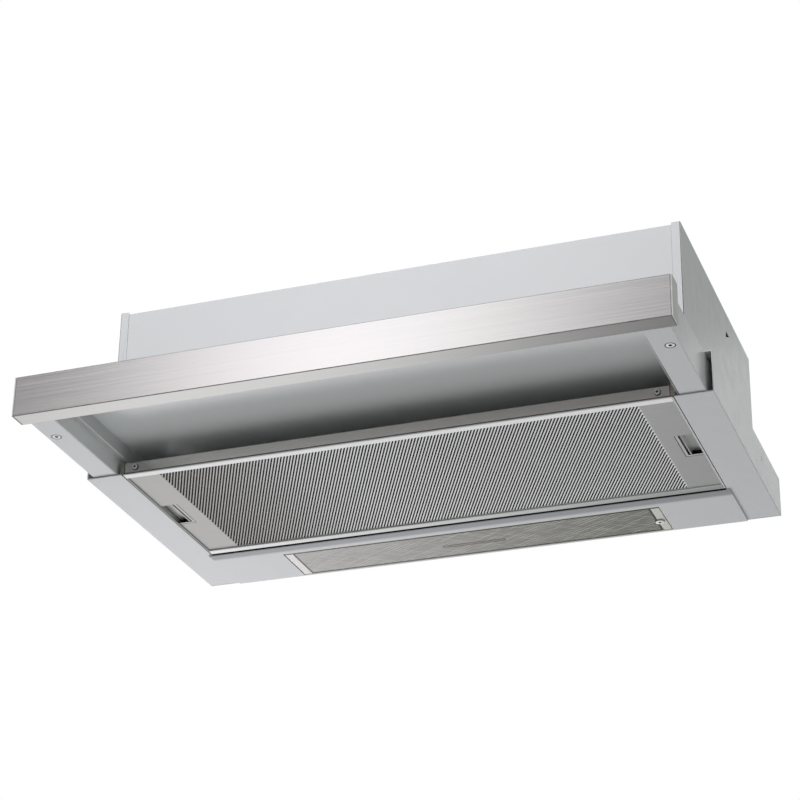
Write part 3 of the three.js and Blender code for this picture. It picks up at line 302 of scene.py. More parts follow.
def make_studio():
    bpy.context.scene.view_settings.view_transform = "Standard"
    make_world()
    lamp("front_lamp", place=(-0.08, -1.5, 1.05), target=(-0.05, -0.3, 0.07), size=(0.6, 0.6),
         power=20.0, colour=(0.99, 0.965, 1.03))
    lamp("low_left_lamp", place=(-1.5, 1.6, -0.9), target=(0.1, -0.2, 0), size=(0.9, 0.9),
         power=63, colour=(1.01, 0.96, 1.04))
    card("front_card", place=(-1.485, -4.03, 2.0), target=(-1.485, 0, 2.0), size=(3.0, 2.6),
         greys=FRONT_GREYS, tints=((1.0, 0.95, 0.99), (1.0, 1.0, 1.0)))
    # The cards behind the hood look to the front, so their own left edge is on the hood's right.
    card("low_card", place=(-1.0, 2.5, -1.45), target=(-1.0, 0, -1.45), size=(3.2, 1.8),
         greys=[(1 - at, grey) for at, grey in reversed(LOW_GREYS)])
    card("high_card", place=(0.95, 3.0, 3.03), target=(0.95, 0, 3.03), size=(2.6, 2.58), greys=even(0.20))
    card("middle_card", place=(0.95, 3.0, 1.2), target=(0.95, 0, 1.2), size=(2.6, 1.08), greys=even(0.43))
    make_floor()


# ------------------------------------------------------------- effects that finishes share

def paint_skin_group():
    """Powder coat: faint clouds in its colour and a fine orange peel."""
    tree, start, end = group(
        "paint_skin",
        [("Position", "vector"), ("Colour", "colour"), ("Clouds", "value"), ("Gloss", "value")],
        [("Colour", "colour"), ("Sheen", "value"), ("Height", "value")])
    cloud = noise(tree, start["Position"], 9.0, 3, 0.6)
    darker = mixed(tree, 1.0, start["Colour"], (0.9, 0.91, 0.93, 1), "MULTIPLY")
    feed(tree, end["Colour"], mixed(tree, times(tree, cloud, start["Clouds"]), start["Colour"], darker))
    patchy = spread(tree, noise(tree, start["Position"], 55.0, 3), 0.3, 0.7, 0.0, 0.07)
    feed(tree, end["Sheen"], maths(tree, "ADD", start["Gloss"], patchy))
    feed(tree, end["Height"], noise(tree, start["Position"], 1500.0, 2))
    return tree


def brushed_lines_group():
    """Grinding lines along the width, with slow bands among them."""
    tree, start, end = group(
        "brushed_lines",
        [("Position", "vector"), ("Along", "value"), ("Across", "value")],
        [("Lines", "value"), ("Bands", "value"), ("Height", "value")])
    factors = put(tree, "ShaderNodeCombineXYZ", {0: start["Along"], 1: start["Across"], 2: start["Across"]})
    fine = scaled(tree, start["Position"], factors.outputs[0])
    lines = noise(tree, fine, 1.0, 4, 0.7)
    coarse = scaled(tree, fine, (0.35, 0.12, 0.12))
    feed(tree, end["Lines"], spread(tree, lines, 0.25, 0.75, smooth=False))
    feed(tree, end["Bands"], noise(tree, coarse, 1.0, 3, 0.6))
    feed(tree, end["Height"], lines)
    return tree


def worn_edge_group():
    """Where a fold or rim has been handled: broken patches along the softened edges."""
    tree, start, end = group(
        "worn_edge", [("Position", "vector"), ("Amount", "value")], [("Mask", "value")])
    patches = spread(tree, noise(tree, start["Position"], 120.0, 3), 0.35, 0.7)
    worn = times(tree, attribute(tree, "edge"), patches)
    feed(tree, end["Mask"], times(tree, worn, start["Amount"], clamp=True))
    return tree


def dust_group():
    """Dust that settles on what faces up."""
    tree, start, end = group(
        "settled_dust", [("Position", "vector"), ("Amount", "value")], [("Mask", "value")])
    up = axes(tree, put(tree, "ShaderNodeNewGeometry").outputs["Normal"])[2]
    patches = spread(tree, noise(tree, start["Position"], 18.0, 5, 0.65), 0.35, 0.75)
    settled = times(tree, spread(tree, up, 0.5, 0.95), patches)
    feed(tree, end["Mask"], times(tree, settled, start["Amount"], clamp=True))
    return tree


def zinc_flower_group():
    """The crystals of a zinc coat."""
    tree, start, end = group(
        "zinc_flower", [("Position", "vector"), ("Scale", "value")], [("Crystals", "value")])
    wobble = put(tree, "ShaderNodeTexNoise", {"Vector": start["Position"], "Scale": 90.0}).outputs["Color"]
    small = scaled(tree, wobble, (0.003, 0.003, 0.003))
    bent = put(tree, "ShaderNodeVectorMath", {0: start["Position"], 1: small}, operation="ADD").outputs[0]
    cells = put(tree, "ShaderNodeTexVoronoi", {"Vector": bent, "Scale": start["Scale"]})
    feed(tree, end["Crystals"], put(tree, "ShaderNodeSeparateColor", {0: cells.outputs["Color"]}).outputs[0])
    return tree


def hatching_group():
    """Two sets of fine slanted lines, crossing, with gaps."""
    tree, start, end = group(
        "hatching", [("Position", "vector"), ("Lines per metre", "value")], [("Lines", "value")])
    sets = []
    for angle, strength in ((28, 1.0), (-33, 0.8)):
        turned = put(tree, "ShaderNodeVectorRotate", {
            "Vector": start["Position"], "Angle": math.radians(angle)}, rotation_type="Z_AXIS").outputs[0]
        counted = times(tree, axes(tree, turned)[1], start["Lines per metre"])
        wave = spread(tree, maths(tree, "SINE", times(tree, counted, 2 * math.pi)), 0.55, 1.0)
        broken = spread(tree, noise(tree, scaled(tree, turned, (25, 260, 1)), 1.0, 2), 0.40, 0.62)
        sets.append(times(tree, times(tree, wave, broken), strength))
    feed(tree, end["Lines"], maths(tree, "MAXIMUM", *sets))
    return tree


PAINT_SKIN = paint_skin_group()
BRUSHED_LINES = brushed_lines_group()
WORN_EDGE = worn_edge_group()
DUST = dust_group()
ZINC_FLOWER = zinc_flower_group()
HATCHING = hatching_group()


# ---------------------------------------------------------------------------------- finishes

def use(tree, effect, **inputs):
    """Adds a shared effect. An underscore stands for a space in an input's name."""
    made = put(tree, "ShaderNodeGroup", node_tree=effect)
    for name, value in inputs.items():
        feed(tree, made.inputs[name.replace("_", " ")], value)
    return made.outputs


def blank_finish(name):
    """A new material with its tree, its surface and the place on the object."""
    material = bpy.data.materials.new(name)
    material.use_nodes = True
    tree = material.node_tree
    surface = tree.nodes["Principled BSDF"]
    place = put(tree, "ShaderNodeTexCoord").outputs["Object"]
    return material, tree, surface, place


def wire(tree, surface, colour, roughness, height, depth, strength, **plain):
    """Feeds the surface: its colour, how dull it is, its bumps, and plain values for the rest."""
    feed(tree, surface.inputs["Base Color"], colour)
    feed(tree, surface.inputs["Roughness"], roughness)
    bump = put(tree, "ShaderNodeBump", {"Height": height, "Distance": depth, "Strength": strength})
    feed(tree, surface.inputs["Normal"], bump.outputs[0])
    for name, value in plain.items():
        surface.inputs[name.replace("_", " ")].default_value = value


def painted(name, colour, clouds, gloss):
    """Painted sheet, with worn folds, dust, painted light on the faces marked for it and a painted shadow
    along the rear panel's front edge.
    """
    material, tree, surface, place = blank_finish(name)
    skin = use(tree, PAINT_SKIN, Position=place, Colour=colour, Clouds=clouds, Gloss=gloss)
    worn = use(tree, WORN_EDGE, Position=place, Amount=0.25)["Mask"]
    dusty = use(tree, DUST, Position=place, Amount=0.3)["Mask"]
    shade = mixed(tree, worn, skin["Colour"], (0.86, 0.87, 0.88, 1))
    shade = mixed(tree, dusty, shade, tone(176, 172, 164))
    # Painted light: a lighter tone on the tray's underside and on walls of the rails.
    shade = mixed(tree, attribute(tree, "painted_light"), shade, tone(236, 237, 238))
    # Painted shadow: a dark band along the rear panel's front edge, behind the filter frame's rear edge,
    # fading towards the back.
    band = spread(tree, axes(tree, place)[1], *LIP_SHADOW_BAND, 0.6, 0.0)
    shade = mixed(tree, times(tree, attribute(tree, "lip_shadow"), band), shade, tone(92, 95, 102))
    rough = maths(tree, "ADD", skin["Sheen"], times(tree, dusty, 0.3), True)
    wire(tree, surface, shade, rough, skin["Height"], 0.00003, 0.16)
    return material


def brushed(name, light, dark, rim, along, across, sharpest, dullest, metallic):
    """Ground steel: the lines change its shade and how sharply it shines. Bared parts are lighter and matt,
    partly a painted highlight.

    along and across say how often the lines change in each direction.
    """
    material, tree, surface, place = blank_finish(name)
    lines = use(tree, BRUSHED_LINES, Position=place, Along=along, Across=across)
    worn = use(tree, WORN_EDGE, Position=place, Amount=0.9)["Mask"]
    bare_and_highlight = attribute(tree, "bare_and_highlight")
    shade = mixed(tree, lines["Lines"], dark, light)
    shade = mixed(tree, spread(tree, lines["Bands"], 0.3, 0.7, 0.0, 0.2), shade, dark)
    # Painted fold lines: the rim colour goes on every rounded fold at 0.7 and more where worn, dark on the
    # stainless as painted shade, light on the filter metal as painted highlight.
    on_rim = maths(tree, "MAXIMUM", worn, times(tree, attribute(tree, "edge"), 0.7))
    shade = mixed(tree, on_rim, shade, rim)
    # Bared metal, lighter and matt: partly a painted highlight, as on the filter frame's near white front
    # edge.
    shade = mixed(tree, bare_and_highlight, shade, (0.93, 0.93, 0.925, 1))
    # Painted shade: nearly black on the slots' walls and in the grooves round the latch pockets.
    shade = mixed(tree, attribute(tree, "shade_and_dulling"), shade, tone(22, 22, 22))
    # A warm, darker tarnishing, which is partly painted shade where it grows towards one side.
    shade = mixed(tree, attribute(tree, "tarnish_and_shade"), shade, tone(124, 112, 100))
    rough = spread(tree, lines["Lines"], 0, 1, sharpest, dullest, smooth=False)
    rough = maths(tree, "ADD", rough, times(tree, bare_and_highlight, 0.2), True)
    wire(tree, surface, shade, rough, lines["Height"], 0.000012, 0.35)
    feed(tree, surface.inputs["Metallic"], maths(tree, "SUBTRACT", metallic, times(tree, bare_and_highlight, 0.7)))
    return material


def zinc_coated(name, light, dark):
    """Galvanised sheet with its crystals and some dust."""
    material, tree, surface, place = blank_finish(name)
    flower = use(tree, ZINC_FLOWER, Position=place, Scale=160.0)["Crystals"]
    dusty = use(tree, DUST, Position=place, Amount=0.45)["Mask"]
    shade = mixed(tree, flower, dark, light)
    shade = mixed(tree, dusty, shade, tone(150, 146, 138))
    rough = maths(tree, "ADD", spread(tree, flower, 0, 1, 0.3, 0.48), times(tree, dusty, 0.25), True)
    wire(tree, surface, shade, rough, noise(tree, place, 700.0, 3), 0.00002, 0.2, Metallic=0.85)
    return material


def polished(name, colour):
    """Bright plated steel with faint smears, and painted shade, nearly black, in its recesses."""
    material, tree, surface, place = blank_finish(name)
    smear = noise(tree, place, 260.0, 4, 0.6)
    shade = mixed(tree, spread(tree, smear, 0.4, 0.75, 0, 0.06), colour, tone(150, 142, 130))
    # Painted shade: nearly black in the crossed recess and the groove round the head; dull darkens the whole
    # head.
    shade = mixed(tree, attribute(tree, "shade_and_dulling"), shade, tone(26, 22, 20))
    rough = spread(tree, smear, 0.3, 0.7, 0.3, 0.45)
    wire(tree, surface, shade, rough, smear, 0.00001, 0.3, Metallic=0.15)
    return material


def moulded(name, colour, shine=0.45):
    """Moulded plastic with a fine eroded texture."""
    material, tree, surface, place = blank_finish(name)
    cloud = noise(tree, place, 40.0, 4)
    dusty = use(tree, DUST, Position=place, Amount=0.35)["Mask"]
    worn = use(tree, WORN_EDGE, Position=place, Amount=0.5)["Mask"]
    darker = tuple(channel * 0.86 for channel in colour[:3]) + (1,)
    lighter = tuple(min(1, channel * 1.25 + 0.02) for channel in colour[:3]) + (1,)
    shade = mixed(tree, spread(tree, cloud, 0.35, 0.7), colour, darker)
    shade = mixed(tree, worn, shade, lighter)
    shade = mixed(tree, dusty, shade, tone(158, 153, 144))
    rough = spread(tree, cloud, 0.3, 0.7, shine, shine + 0.1)
    rough = maths(tree, "ADD", rough, times(tree, dusty, 0.3), True)
    wire(tree, surface, shade, rough, noise(tree, place, 2600.0, 2), 0.00004, 0.25)
    return material


def knitted_pad(name):
    """The fleece of flattened wire behind the perforated face, nearly black as painted shade where the slots
    show it.
    """
    material, tree, surface, place = blank_finish(name)
    strands = noise(tree, scaled(tree, place, (700, 700, 260)), 1.0, 5, 0.75)
    # Painted shade: the pad is nearly black.
    shade = mixed(tree, spread(tree, strands, 0.45, 0.72), tone(2, 2, 2), tone(14, 14, 15))
    rough = spread(tree, strands, 0.3, 0.7, 0.4, 0.75)
    wire(tree, surface, shade, rough, strands, 0.0004, 0.8, Metallic=0.3)
    return material


def prism_lens(name):
    """Clear plastic: a diffuser with crossing slanted prisms, a moulded outline and clear ends; painted shade
    darkens it towards the right, and the clear ends are a painted highlight.
    """
    material, tree, surface, place = blank_finish(name)
    hatch = use(tree, HATCHING, Position=place, Lines_per_metre=260.0)["Lines"]
    haze = noise(tree, place, 60.0, 4, 0.6)
    across, depth, _ = axes(tree, place)
    past_ends = beyond(tree, across, 0.0, PRISMS_HALF_LENGTH)
    past_sides = beyond(tree, depth, PRISMS_MIDDLE_DEPTH, PRISMS_HALF_DEPTH)
    past_field = maths(tree, "MAXIMUM", past_ends, past_sides)
    past_plate = maths(tree, "MAXIMUM",
                       beyond(tree, across, NAMEPLATE_MIDDLE[0], NAMEPLATE_HALF_SIZE[0]),
                       beyond(tree, depth, NAMEPLATE_MIDDLE[1], NAMEPLATE_HALF_SIZE[1]))

    # Painted shade: darker from left to right.
    shade = mixed(tree, spread(tree, across, -0.19, 0.17), tone(176, 174, 171), tone(126, 126, 118))
    shade = mixed(tree, spread(tree, haze, 0.3, 0.7, 0.0, 0.25), shade, tone(140, 139, 128))
    hatched = times(tree, hatch, spread(tree, past_plate, 0.0, 0.0008, 0.0, 0.75))
    shade = mixed(tree, hatched, shade, tone(216, 216, 208))
    plate_edge = spread(tree, maths(tree, "ABSOLUTE", past_plate), 0.0002, 0.0008, 0.6, 0.0)
    shade = mixed(tree, plate_edge, shade, tone(86, 84, 70))
    # Painted highlight: the clear ends are near white, a little lighter on the left.
    clear = mixed(tree, spread(tree, across, -0.1, 0.1), tone(240, 234, 232), tone(222, 222, 212))
    shade = mixed(tree, spread(tree, past_ends, 0.0003, 0.0009), shade, clear)
    outline = spread(tree, maths(tree, "ABSOLUTE", past_field), 0.0007, 0.0014, 1.0, 0.0)
    outline = maths(tree, "MAXIMUM", outline, spread(tree, depth, *FRONT_RIM_BAND, 1.0, 0.0))
    shade = mixed(tree, outline, shade, tone(70, 66, 48))
    rough = spread(tree, haze, 0.3, 0.7, 0.16, 0.28)
    wire(tree, surface, shade, rough, hatch, 0.00012, 0.5, IOR=1.49, Transmission_Weight=0.15)
    return material


def tube_coat(name):
    """The lamp tube's white coat, scorched towards both ends."""
    material, tree, surface, place = blank_finish(name)
    from_middle = maths(tree, "ABSOLUTE", axes(tree, place)[0])
    scorched = times(tree, spread(tree, from_middle, 0.105, 0.135), noise(tree, place, 90.0, 3))
    shade = mixed(tree, scorched, tone(244, 242, 236), tone(170, 164, 152))
    rough = spread(tree, noise(tree, place, 30.0, 2), 0.3, 0.7, 0.08, 0.16)
    wire(tree, surface, shade, rough, noise(tree, place, 900.0, 2), 0.00001, 0.2)
    return material


# Each slot's finish: what makes it, and with which settings.
FINISHES = {slot: make(slot, **settings) for slot, (make, settings) in {
    "housing_paint": (painted, {"colour": tone(204, 205, 205), "clouds": 0.35, "gloss": 0.2}),
    "tray_paint": (painted, {"colour": tone(204, 204, 206), "clouds": 0.3, "gloss": 0.17}),
    # The rim colours are painted fold lines: dark on the stainless, light on the filter metal.
    "stainless": (brushed, {
        "light": (0.79, 0.78, 0.775, 1), "dark": (0.67, 0.66, 0.655, 1), "rim": (0.10, 0.095, 0.09, 1),
        "along": 7.0, "across": 2200.0, "sharpest": 0.17, "dullest": 0.25, "metallic": 1.0}),
    "zinc_steel": (zinc_coated, {"light": (0.40, 0.36, 0.325, 1), "dark": (0.27, 0.24, 0.215, 1)}),
    "bright_steel": (polished, {"colour": (0.97, 0.97, 0.96, 1)}),
    "filter_metal": (brushed, {
        "light": (0.69, 0.685, 0.68, 1), "dark": (0.58, 0.575, 0.57, 1), "rim": (0.75, 0.75, 0.75, 1),
        "along": 60.0, "across": 1500.0, "sharpest": 0.30, "dullest": 0.42, "metallic": 0.85}),
    "filter_mesh": (knitted_pad, {}),
    "lens_plastic": (prism_lens, {}),
    "tube_glass": (tube_coat, {}),
    "dark_plastic": (moulded, {"colour": tone(50, 52, 55)}),
    "grey_plastic": (moulded, {"colour": tone(192, 192, 189)}),
    "white_plastic": (moulded, {"colour": tone(226, 225, 219), "shine": 0.38}),
}.items()}
NODE_SLOT = {name: node.material_slots[0].material.name.split(".")[0] for name, node in NODES.items()}
for name, node in NODES.items():
    node.material_slots[0].material = FINISHES[NODE_SLOT[name]]


# ------------------------------------------------------------------------- shaping the sheet

def baked(made):
    """The object's evaluated shape as a plain mesh, with its modifiers removed."""
    depsgraph = bpy.context.evaluated_depsgraph_get()
    mesh = bpy.data.meshes.new_from_object(made.evaluated_get(depsgraph))
    old = made.data
    made.modifiers.clear()
    made.data = mesh
    bpy.data.meshes.remove(old)
    return made


def cut_out(made, block, crossing=False):
    """Takes a block out of an object. crossing is for a block whose own parts run through each other."""
    cutter = link("cutter", bpy.data.meshes.new("cutter"))
    block.to_mesh(cutter.data)
    block.free()
    cut = made.modifiers.new("cut", "BOOLEAN")
    cut.operation = "DIFFERENCE"
    cut.solver = "EXACT"
    cut.use_self = crossing
    cut.object = cutter
    baked(made)
    bpy.data.objects.remove(cutter)


def face_widths(shape):
    """For each triangle, about how wide the flat face is that it belongs to."""
    region, width = {}, {}
    for first in shape.faces:
        if first in region:
            continue
        region[first] = first
        members, waiting = [], [first]
        while waiting:
            face = waiting.pop()
            members.append(face)
            for edge in face.edges:
                for other in edge.link_faces:
                    if other not in region and edge.calc_face_angle(0) < FLAT_ANGLE:
                        region[other] = first
                        waiting.append(other)
        area = sum(face.calc_area() for face in members)
        around = sum(edge.calc_length() for face in members for edge in face.edges
                     if sum(region.get(other) is first for other in edge.link_faces) == 1)
        for face in members:
            width[face] = 2 * area / around if around else 0
    return width


def add_bar(shape, low, high):
    """A closed bar between two corners given in millimetres."""
    size = [(b - a) * MM for a, b in zip(low, high)]
    middle = [(a + b) / 2 * MM for a, b in zip(low, high)]
    bmesh.ops.create_cube(shape, size=1, matrix=Matrix.Translation(middle) @ Matrix.Diagonal((*size, 1)))


def softened(node, radius, bars=(), rolled=None):
    """A node's shape with rounded folds: full radius between wide faces, less on thin rims.

    The bars are small ribs and beads of the same piece that the model leaves out. rolled gives the
    larger radius of one long edge, with the Y and Z that it runs through. All in millimetres.
    """
    usual = radius * MM
    largest = rolled[0] * MM if rolled else usual
    mesh = NODES[node].data.copy()
    shape = bmesh.new()
    shape.from_mesh(mesh)
    bmesh.ops.remove_doubles(shape, verts=shape.verts, dist=SAME_CORNER)
    for low, high in bars:
        add_bar(shape, low, high)
    weight = shape.edges.layers.float.new("bevel_weight_edge")
    width = face_widths(shape)
    for edge in shape.edges:
        if len(edge.link_faces) != 2 or edge.calc_face_angle(0) < FOLD_ANGLE:
            continue
        at_roll = rolled and all(
            abs(vertex.co.y / MM - rolled[1]) + abs(vertex.co.z / MM - rolled[2]) < 0.05
            for vertex in edge.verts)
        room = 0.4 * min(width[face] for face in edge.link_faces)
        share = 1.0 if at_roll else min(usual, room) / largest
        if share * largest > LEAST_ROUNDING:
            edge[weight] = share
    shape.to_mesh(mesh)
    shape.free()
    made = link(node + "_formed", mesh)
    mesh.materials.clear()
    for _ in range(2):
        mesh.materials.append(FINISHES[NODE_SLOT[node]])
    bevel = made.modifiers.new("folds", "BEVEL")
    bevel.limit_method = "WEIGHT"
    bevel.width = largest
    bevel.segments = ROLL_STEPS if rolled else FOLD_STEPS
    bevel.use_clamp_overlap = False
    bevel.loop_slide = False
    bevel.material = 1
    baked(made)
    mark_edges(made.data)
    return made


def mark_edges(mesh):
    """Keeps wide faces flat and turns the light only over the rounded folds.

    The bevel's material number also becomes the attribute that the worn edges read.
    """
    edge = mesh.attributes.new("edge", "FLOAT", "FACE")
    rounded = [face.material_index == 1 for face in mesh.polygons]
    around = [[] for _ in mesh.vertices]
    for face in mesh.polygons:
        edge.data[face.index].value = float(rounded[face.index])
        for corner in face.vertices:
            around[corner].append(face.index)
    normals = [None] * len(mesh.loops)
    for face in mesh.polygons:
        for loop in face.loop_indices:
            near = around[mesh.loops[loop].vertex_index]
            flat = [other for other in near if not rounded[other]]
            if rounded[face.index]:
                candidates, closeness = flat or near, 0.35
            else:
                candidates, closeness = flat, math.cos(FOLD_ANGLE)
            total = Vector()
            for other in candidates:
                neighbour = mesh.polygons[other]
                if neighbour.normal.dot(face.normal) > closeness:
                    total += neighbour.normal * max(neighbour.area, 1e-9)
            normals[loop] = (total.normalized() if total.length else face.normal)[:]
    for face in mesh.polygons:
        face.use_smooth = True
        face.material_index = 0
    while len(mesh.materials) > 1:
        mesh.materials.pop(index=len(mesh.materials) - 1)
    mesh.normals_split_custom_set(normals)


def mark(made, name, amount):
    """Fills an attribute at each face's corners from the corner, the face's middle and its normal.

    Places are in millimetres.
    """
    layer = made.data.attributes.new(name, "FLOAT", "CORNER")
    for face in made.data.polygons:
        for loop in face.loop_indices:
            place = made.data.vertices[made.data.loops[loop].vertex_index].co / MM
            layer.data[loop].value = amount(place, face.center / MM, face.normal)
    return made


def stand_in(made, node):
    """made, built in the node's place, takes over from it: the node is hidden and made rides on its body."""
    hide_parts(node)
    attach(made, BODY_OF[node])
    return made


# ------------------------------------------------------------------ the folded and moulded pieces

def frame_bare_and_highlight(place, middle, normal):
    """The filter frame's front and rear lips and the cups behind the latches are lighter and matt: partly
    bared metal, partly a painted highlight, with a near white front one and a rear one lighter towards the
    left.
    """
    if abs(middle.x) > 241 and -205 < middle.y < -156:
        return 0.5
    if normal.z > -0.2:
        return 0.0
    if middle.y < -270:
        return 0.97
    return 0.52 - 0.0018 * place.x if middle.y > -92 else 0.0


def cross_member_tarnish_and_shade(place, middle, normal):
    """Warm and tarnished, darker towards the right as painted shade."""
    return 0.40 + 0.0006 * place.x


def left_rail_painted_light(place, middle, normal):
    """Painted light: the left rail's inner wall is lighter on its side that looks to the right."""
    return 0.9 if normal.x > 0.5 and middle.x > -275 else 0.0


def right_rail_painted_light(place, middle, normal):
    """Painted light: the right rail's outer wall gets lighter towards the back."""
    return 0.004 * (place.y + 410) if normal.x > 0.5 and middle.x > 285 else 0.0


def tray_painted_light(place, middle, normal):
    """Painted light: the tray's underside is lighter, most of all on the left."""
    return 0.86 - 0.0007 * place.x if normal.z < -0.3 else 0.0


# Faces that look down; on the rear panel they carry the painted shadow along its front edge.
def underside(place, middle, normal):
    return float(normal.z < -0.2)


# Each folded, turned or moulded piece with the radius of its folds, in millimetres.
FOLDS = {
    "side_panel_left": 0.8, "side_panel_right": 0.8, "front_panel": 0.3, "back_panel": 0.8,
    "top_plate": 0.8, "inner_deck": 0.5, "rear_bottom_panel": 0.7, "fascia": 0.7,
    "fascia_end_left": 0.4, "fascia_end_right": 0.4, "drawer_rail_left": 0.8, "drawer_rail_right": 0.8,
    "drawer_tray": 0.6, "cross_member": 0.6, "cross_bracket_left": 0.4, "cross_bracket_right": 0.4,
    "filter_frame": 0.6, "filter_latch_left": 0.4, "filter_latch_right": 0.4, "fixed_runner_left": 0.5,
    "fixed_runner_right": 0.5, "moving_runner_left": 0.4, "moving_runner_right": 0.4, "lamp_tray": 0.6,
    "lamp_holder_left": 1.0, "lamp_holder_right": 1.0, "scroll_housing": 0.5, "scroll_cover": 0.5,
    "motor_bracket": 0.5, "motor_body": 1.5, "outlet_collar": 0.6, "terminal_box": 1.5,
    "terminal_block": 0.8, "cable_gland": 0.6, "capacitor": 2.0, "ballast": 0.8, "door_switch": 0.6,
    "switch_plunger": 0.5, "control_housing": 0.8, "fan_speed_slider": 0.6, "light_slider": 0.6,
    "damper_flap_front": 0.3, "damper_flap_rear": 0.3, "inlet_ring": 0.4, "impeller": 0.3,
    "motor_shaft": 0.4, "flap_pin": 0.2, "lens_hinge_pin": 0.2, "lamp_tube": 0.4,
    "filter_back_sheet": 0.3, "filter_mesh_pad": 0.6,
}

# Ribs and beads on those pieces: opposite corners, in millimetres.
RIBS = {
    "filter_frame": [((261.5, -283, -39.9), (262.75, -81.5, -39.3)),
                     ((243.4, -203.7, -33.1), (261.2, -157.6, -32.7)),
                     ((-261.2, -203.7, -33.1), (-243.4, -157.6, -32.7))],
    "front_panel": [((266.6, -283.45, 1.5), (267.15, -283.1, 130.5)),
                    ((-267.15, -283.45, 1.5), (-266.6, -283.1, 130.5))],
    "drawer_rail_left": [((-267.4, -409, -38.35), (-266.9, -149, -37.9))],
    "drawer_rail_right": [((266.9, -409, -38.35), (267.4, -149, -37.9))],
    "fan_speed_slider": [((167.5 + step, -422.25, 0.6), (168.3 + step, -417.45, 1.3))
                         for step in (0, 2.5, 5, 7.5)],
    "light_slider": [((221.5 + step, -422.25, 0.6), (222.3 + step, -417.45, 1.3))
                     for step in (0, 2.5, 5, 7.5)],
}

# The one rolled edge: its radius, and the Y and Z that it runs through, in millimetres.
ROLLED = {"rear_bottom_panel": (2.4, -79, -40.6)}

# The attribute that some of those pieces carry for their finish, and what fills it. All of them paint light
# or shade, some together with bared metal and tarnishing.
MARKS = {
    "filter_frame": ("bare_and_highlight", frame_bare_and_highlight),
    "cross_member": ("tarnish_and_shade", cross_member_tarnish_and_shade),
    "drawer_rail_left": ("painted_light", left_rail_painted_light),
    "drawer_rail_right": ("painted_light", right_rail_painted_light),
    "drawer_tray": ("painted_light", tray_painted_light),
    "rear_bottom_panel": ("lip_shadow", underside),
}


def form_pieces():
    for node, radius in FOLDS.items():
        made = softened(node, radius, RIBS.get(node, ()), ROLLED.get(node))
        if node in MARKS:
            mark(made, *MARKS[node])
        stand_in(made, node)


# ------------------------------------------------------------------ the filter's face sheet

def slotted_cell(pitch, margin, lap, depth):
    """One square of the sheet: its face below, with a slanting slot, and the slot's walls."""
    half, inner = pitch / 2, pitch / 2 - margin
    corners = [(-half, -half), (half, -half), (half, half), (-half, half)]
    slot = [(-lap, -inner), (inner, -inner), (lap, inner), (-inner, inner)]
    places = [(x, y, 0) for x, y in corners + slot] + [(x, y, depth) for x, y in slot]
    faces = []
    for start in range(4):
        after = (start + 1) % 4
        faces.append((start, 4 + start, 4 + after, after))
        faces.append((4 + start, 8 + start, 8 + after, 4 + after))
    mesh = bpy.data.meshes.new("slotted_cell")
    mesh.from_pydata(places, [], faces)
    return link("slotted_cell", mesh)


def perforation_tree():
    """Repeats a cell in rows, every second row shifted by half a pitch and one cell shorter."""
    tree = bpy.data.node_groups.new("perforation", "GeometryNodeTree")
    for label, kind in (("Geometry", "Geometry"), ("Columns", "Int"), ("Rows", "Int"), ("Pitch", "Float"),
                        ("Cell", "Object"), ("Metal", "Material")):
        tree.interface.new_socket(label, in_out="INPUT", socket_type="NodeSocket" + kind)
    tree.interface.new_socket("Geometry", in_out="OUTPUT", socket_type="NodeSocketGeometry")
    start = tree.nodes.new("NodeGroupInput").outputs
    pitch = start["Pitch"]
    length = times(tree, maths(tree, "SUBTRACT", start["Columns"], 1), pitch)
    breadth = times(tree, maths(tree, "SUBTRACT", start["Rows"], 1), pitch)
    grid = put(tree, "GeometryNodeMeshGrid", {
        "Size X": length, "Size Y": breadth, "Vertices X": start["Columns"], "Vertices Y": start["Rows"]})
    place = axes(tree, put(tree, "GeometryNodeInputPosition").outputs[0])
    from_front = maths(tree, "ADD", place["Y"], times(tree, breadth, 0.5))
    row = maths(tree, "ROUND", maths(tree, "DIVIDE", from_front, pitch))
    odd = maths(tree, "MODULO", row, 2)
    near_end = maths(tree, "SUBTRACT", times(tree, length, 0.5), times(tree, pitch, 0.25))
    last = maths(tree, "GREATER_THAN", place["X"], near_end)
    shift = put(tree, "ShaderNodeCombineXYZ", {0: times(tree, times(tree, odd, pitch), 0.5)})
    kept = put(tree, "GeometryNodeDeleteGeometry", {
        "Geometry": grid.outputs["Mesh"], "Selection": times(tree, odd, last)}, domain="POINT")
    moved = put(tree, "GeometryNodeSetPosition", {"Geometry": kept.outputs[0], "Offset": shift.outputs[0]})
    cell = put(tree, "GeometryNodeObjectInfo", {"Object": start["Cell"]})
    repeated = put(tree, "GeometryNodeInstanceOnPoints", {
        "Points": moved.outputs[0], "Instance": cell.outputs["Geometry"]})
    real = put(tree, "GeometryNodeRealizeInstances", {"Geometry": repeated.outputs[0]})
    finished = put(tree, "GeometryNodeSetMaterial", {"Geometry": real.outputs[0], "Material": start["Metal"]})
    put(tree, "NodeGroupOutput", {"Geometry": finished.outputs[0]})
    return tree


def pocket_rims():
    """Round each latch pocket a groove painted dark as shade and a pressed rim painted lighter as a
    highlight.

    Gives each one's low corner, its high corner and whether it is painted dark.
    """
    bottom, top = -38.48, -38.27
    right = [((243.4, -203.6), (244.1, -157.7), True), ((244.1, -158.4), (260.3, -157.7), True),
             ((244.1, -203.6), (246.6, -158.4), False), ((246.6, -160.8), (260.3, -158.4), False)]
    rims = []
    for (x0, y0), (x1, y1), in_shade in right:
        rims.append(((x0, y0, bottom), (x1, y1, top), in_shade))
        rims.append(((-x1, y0, bottom), (-x0, y1, top), in_shade))
    return rims


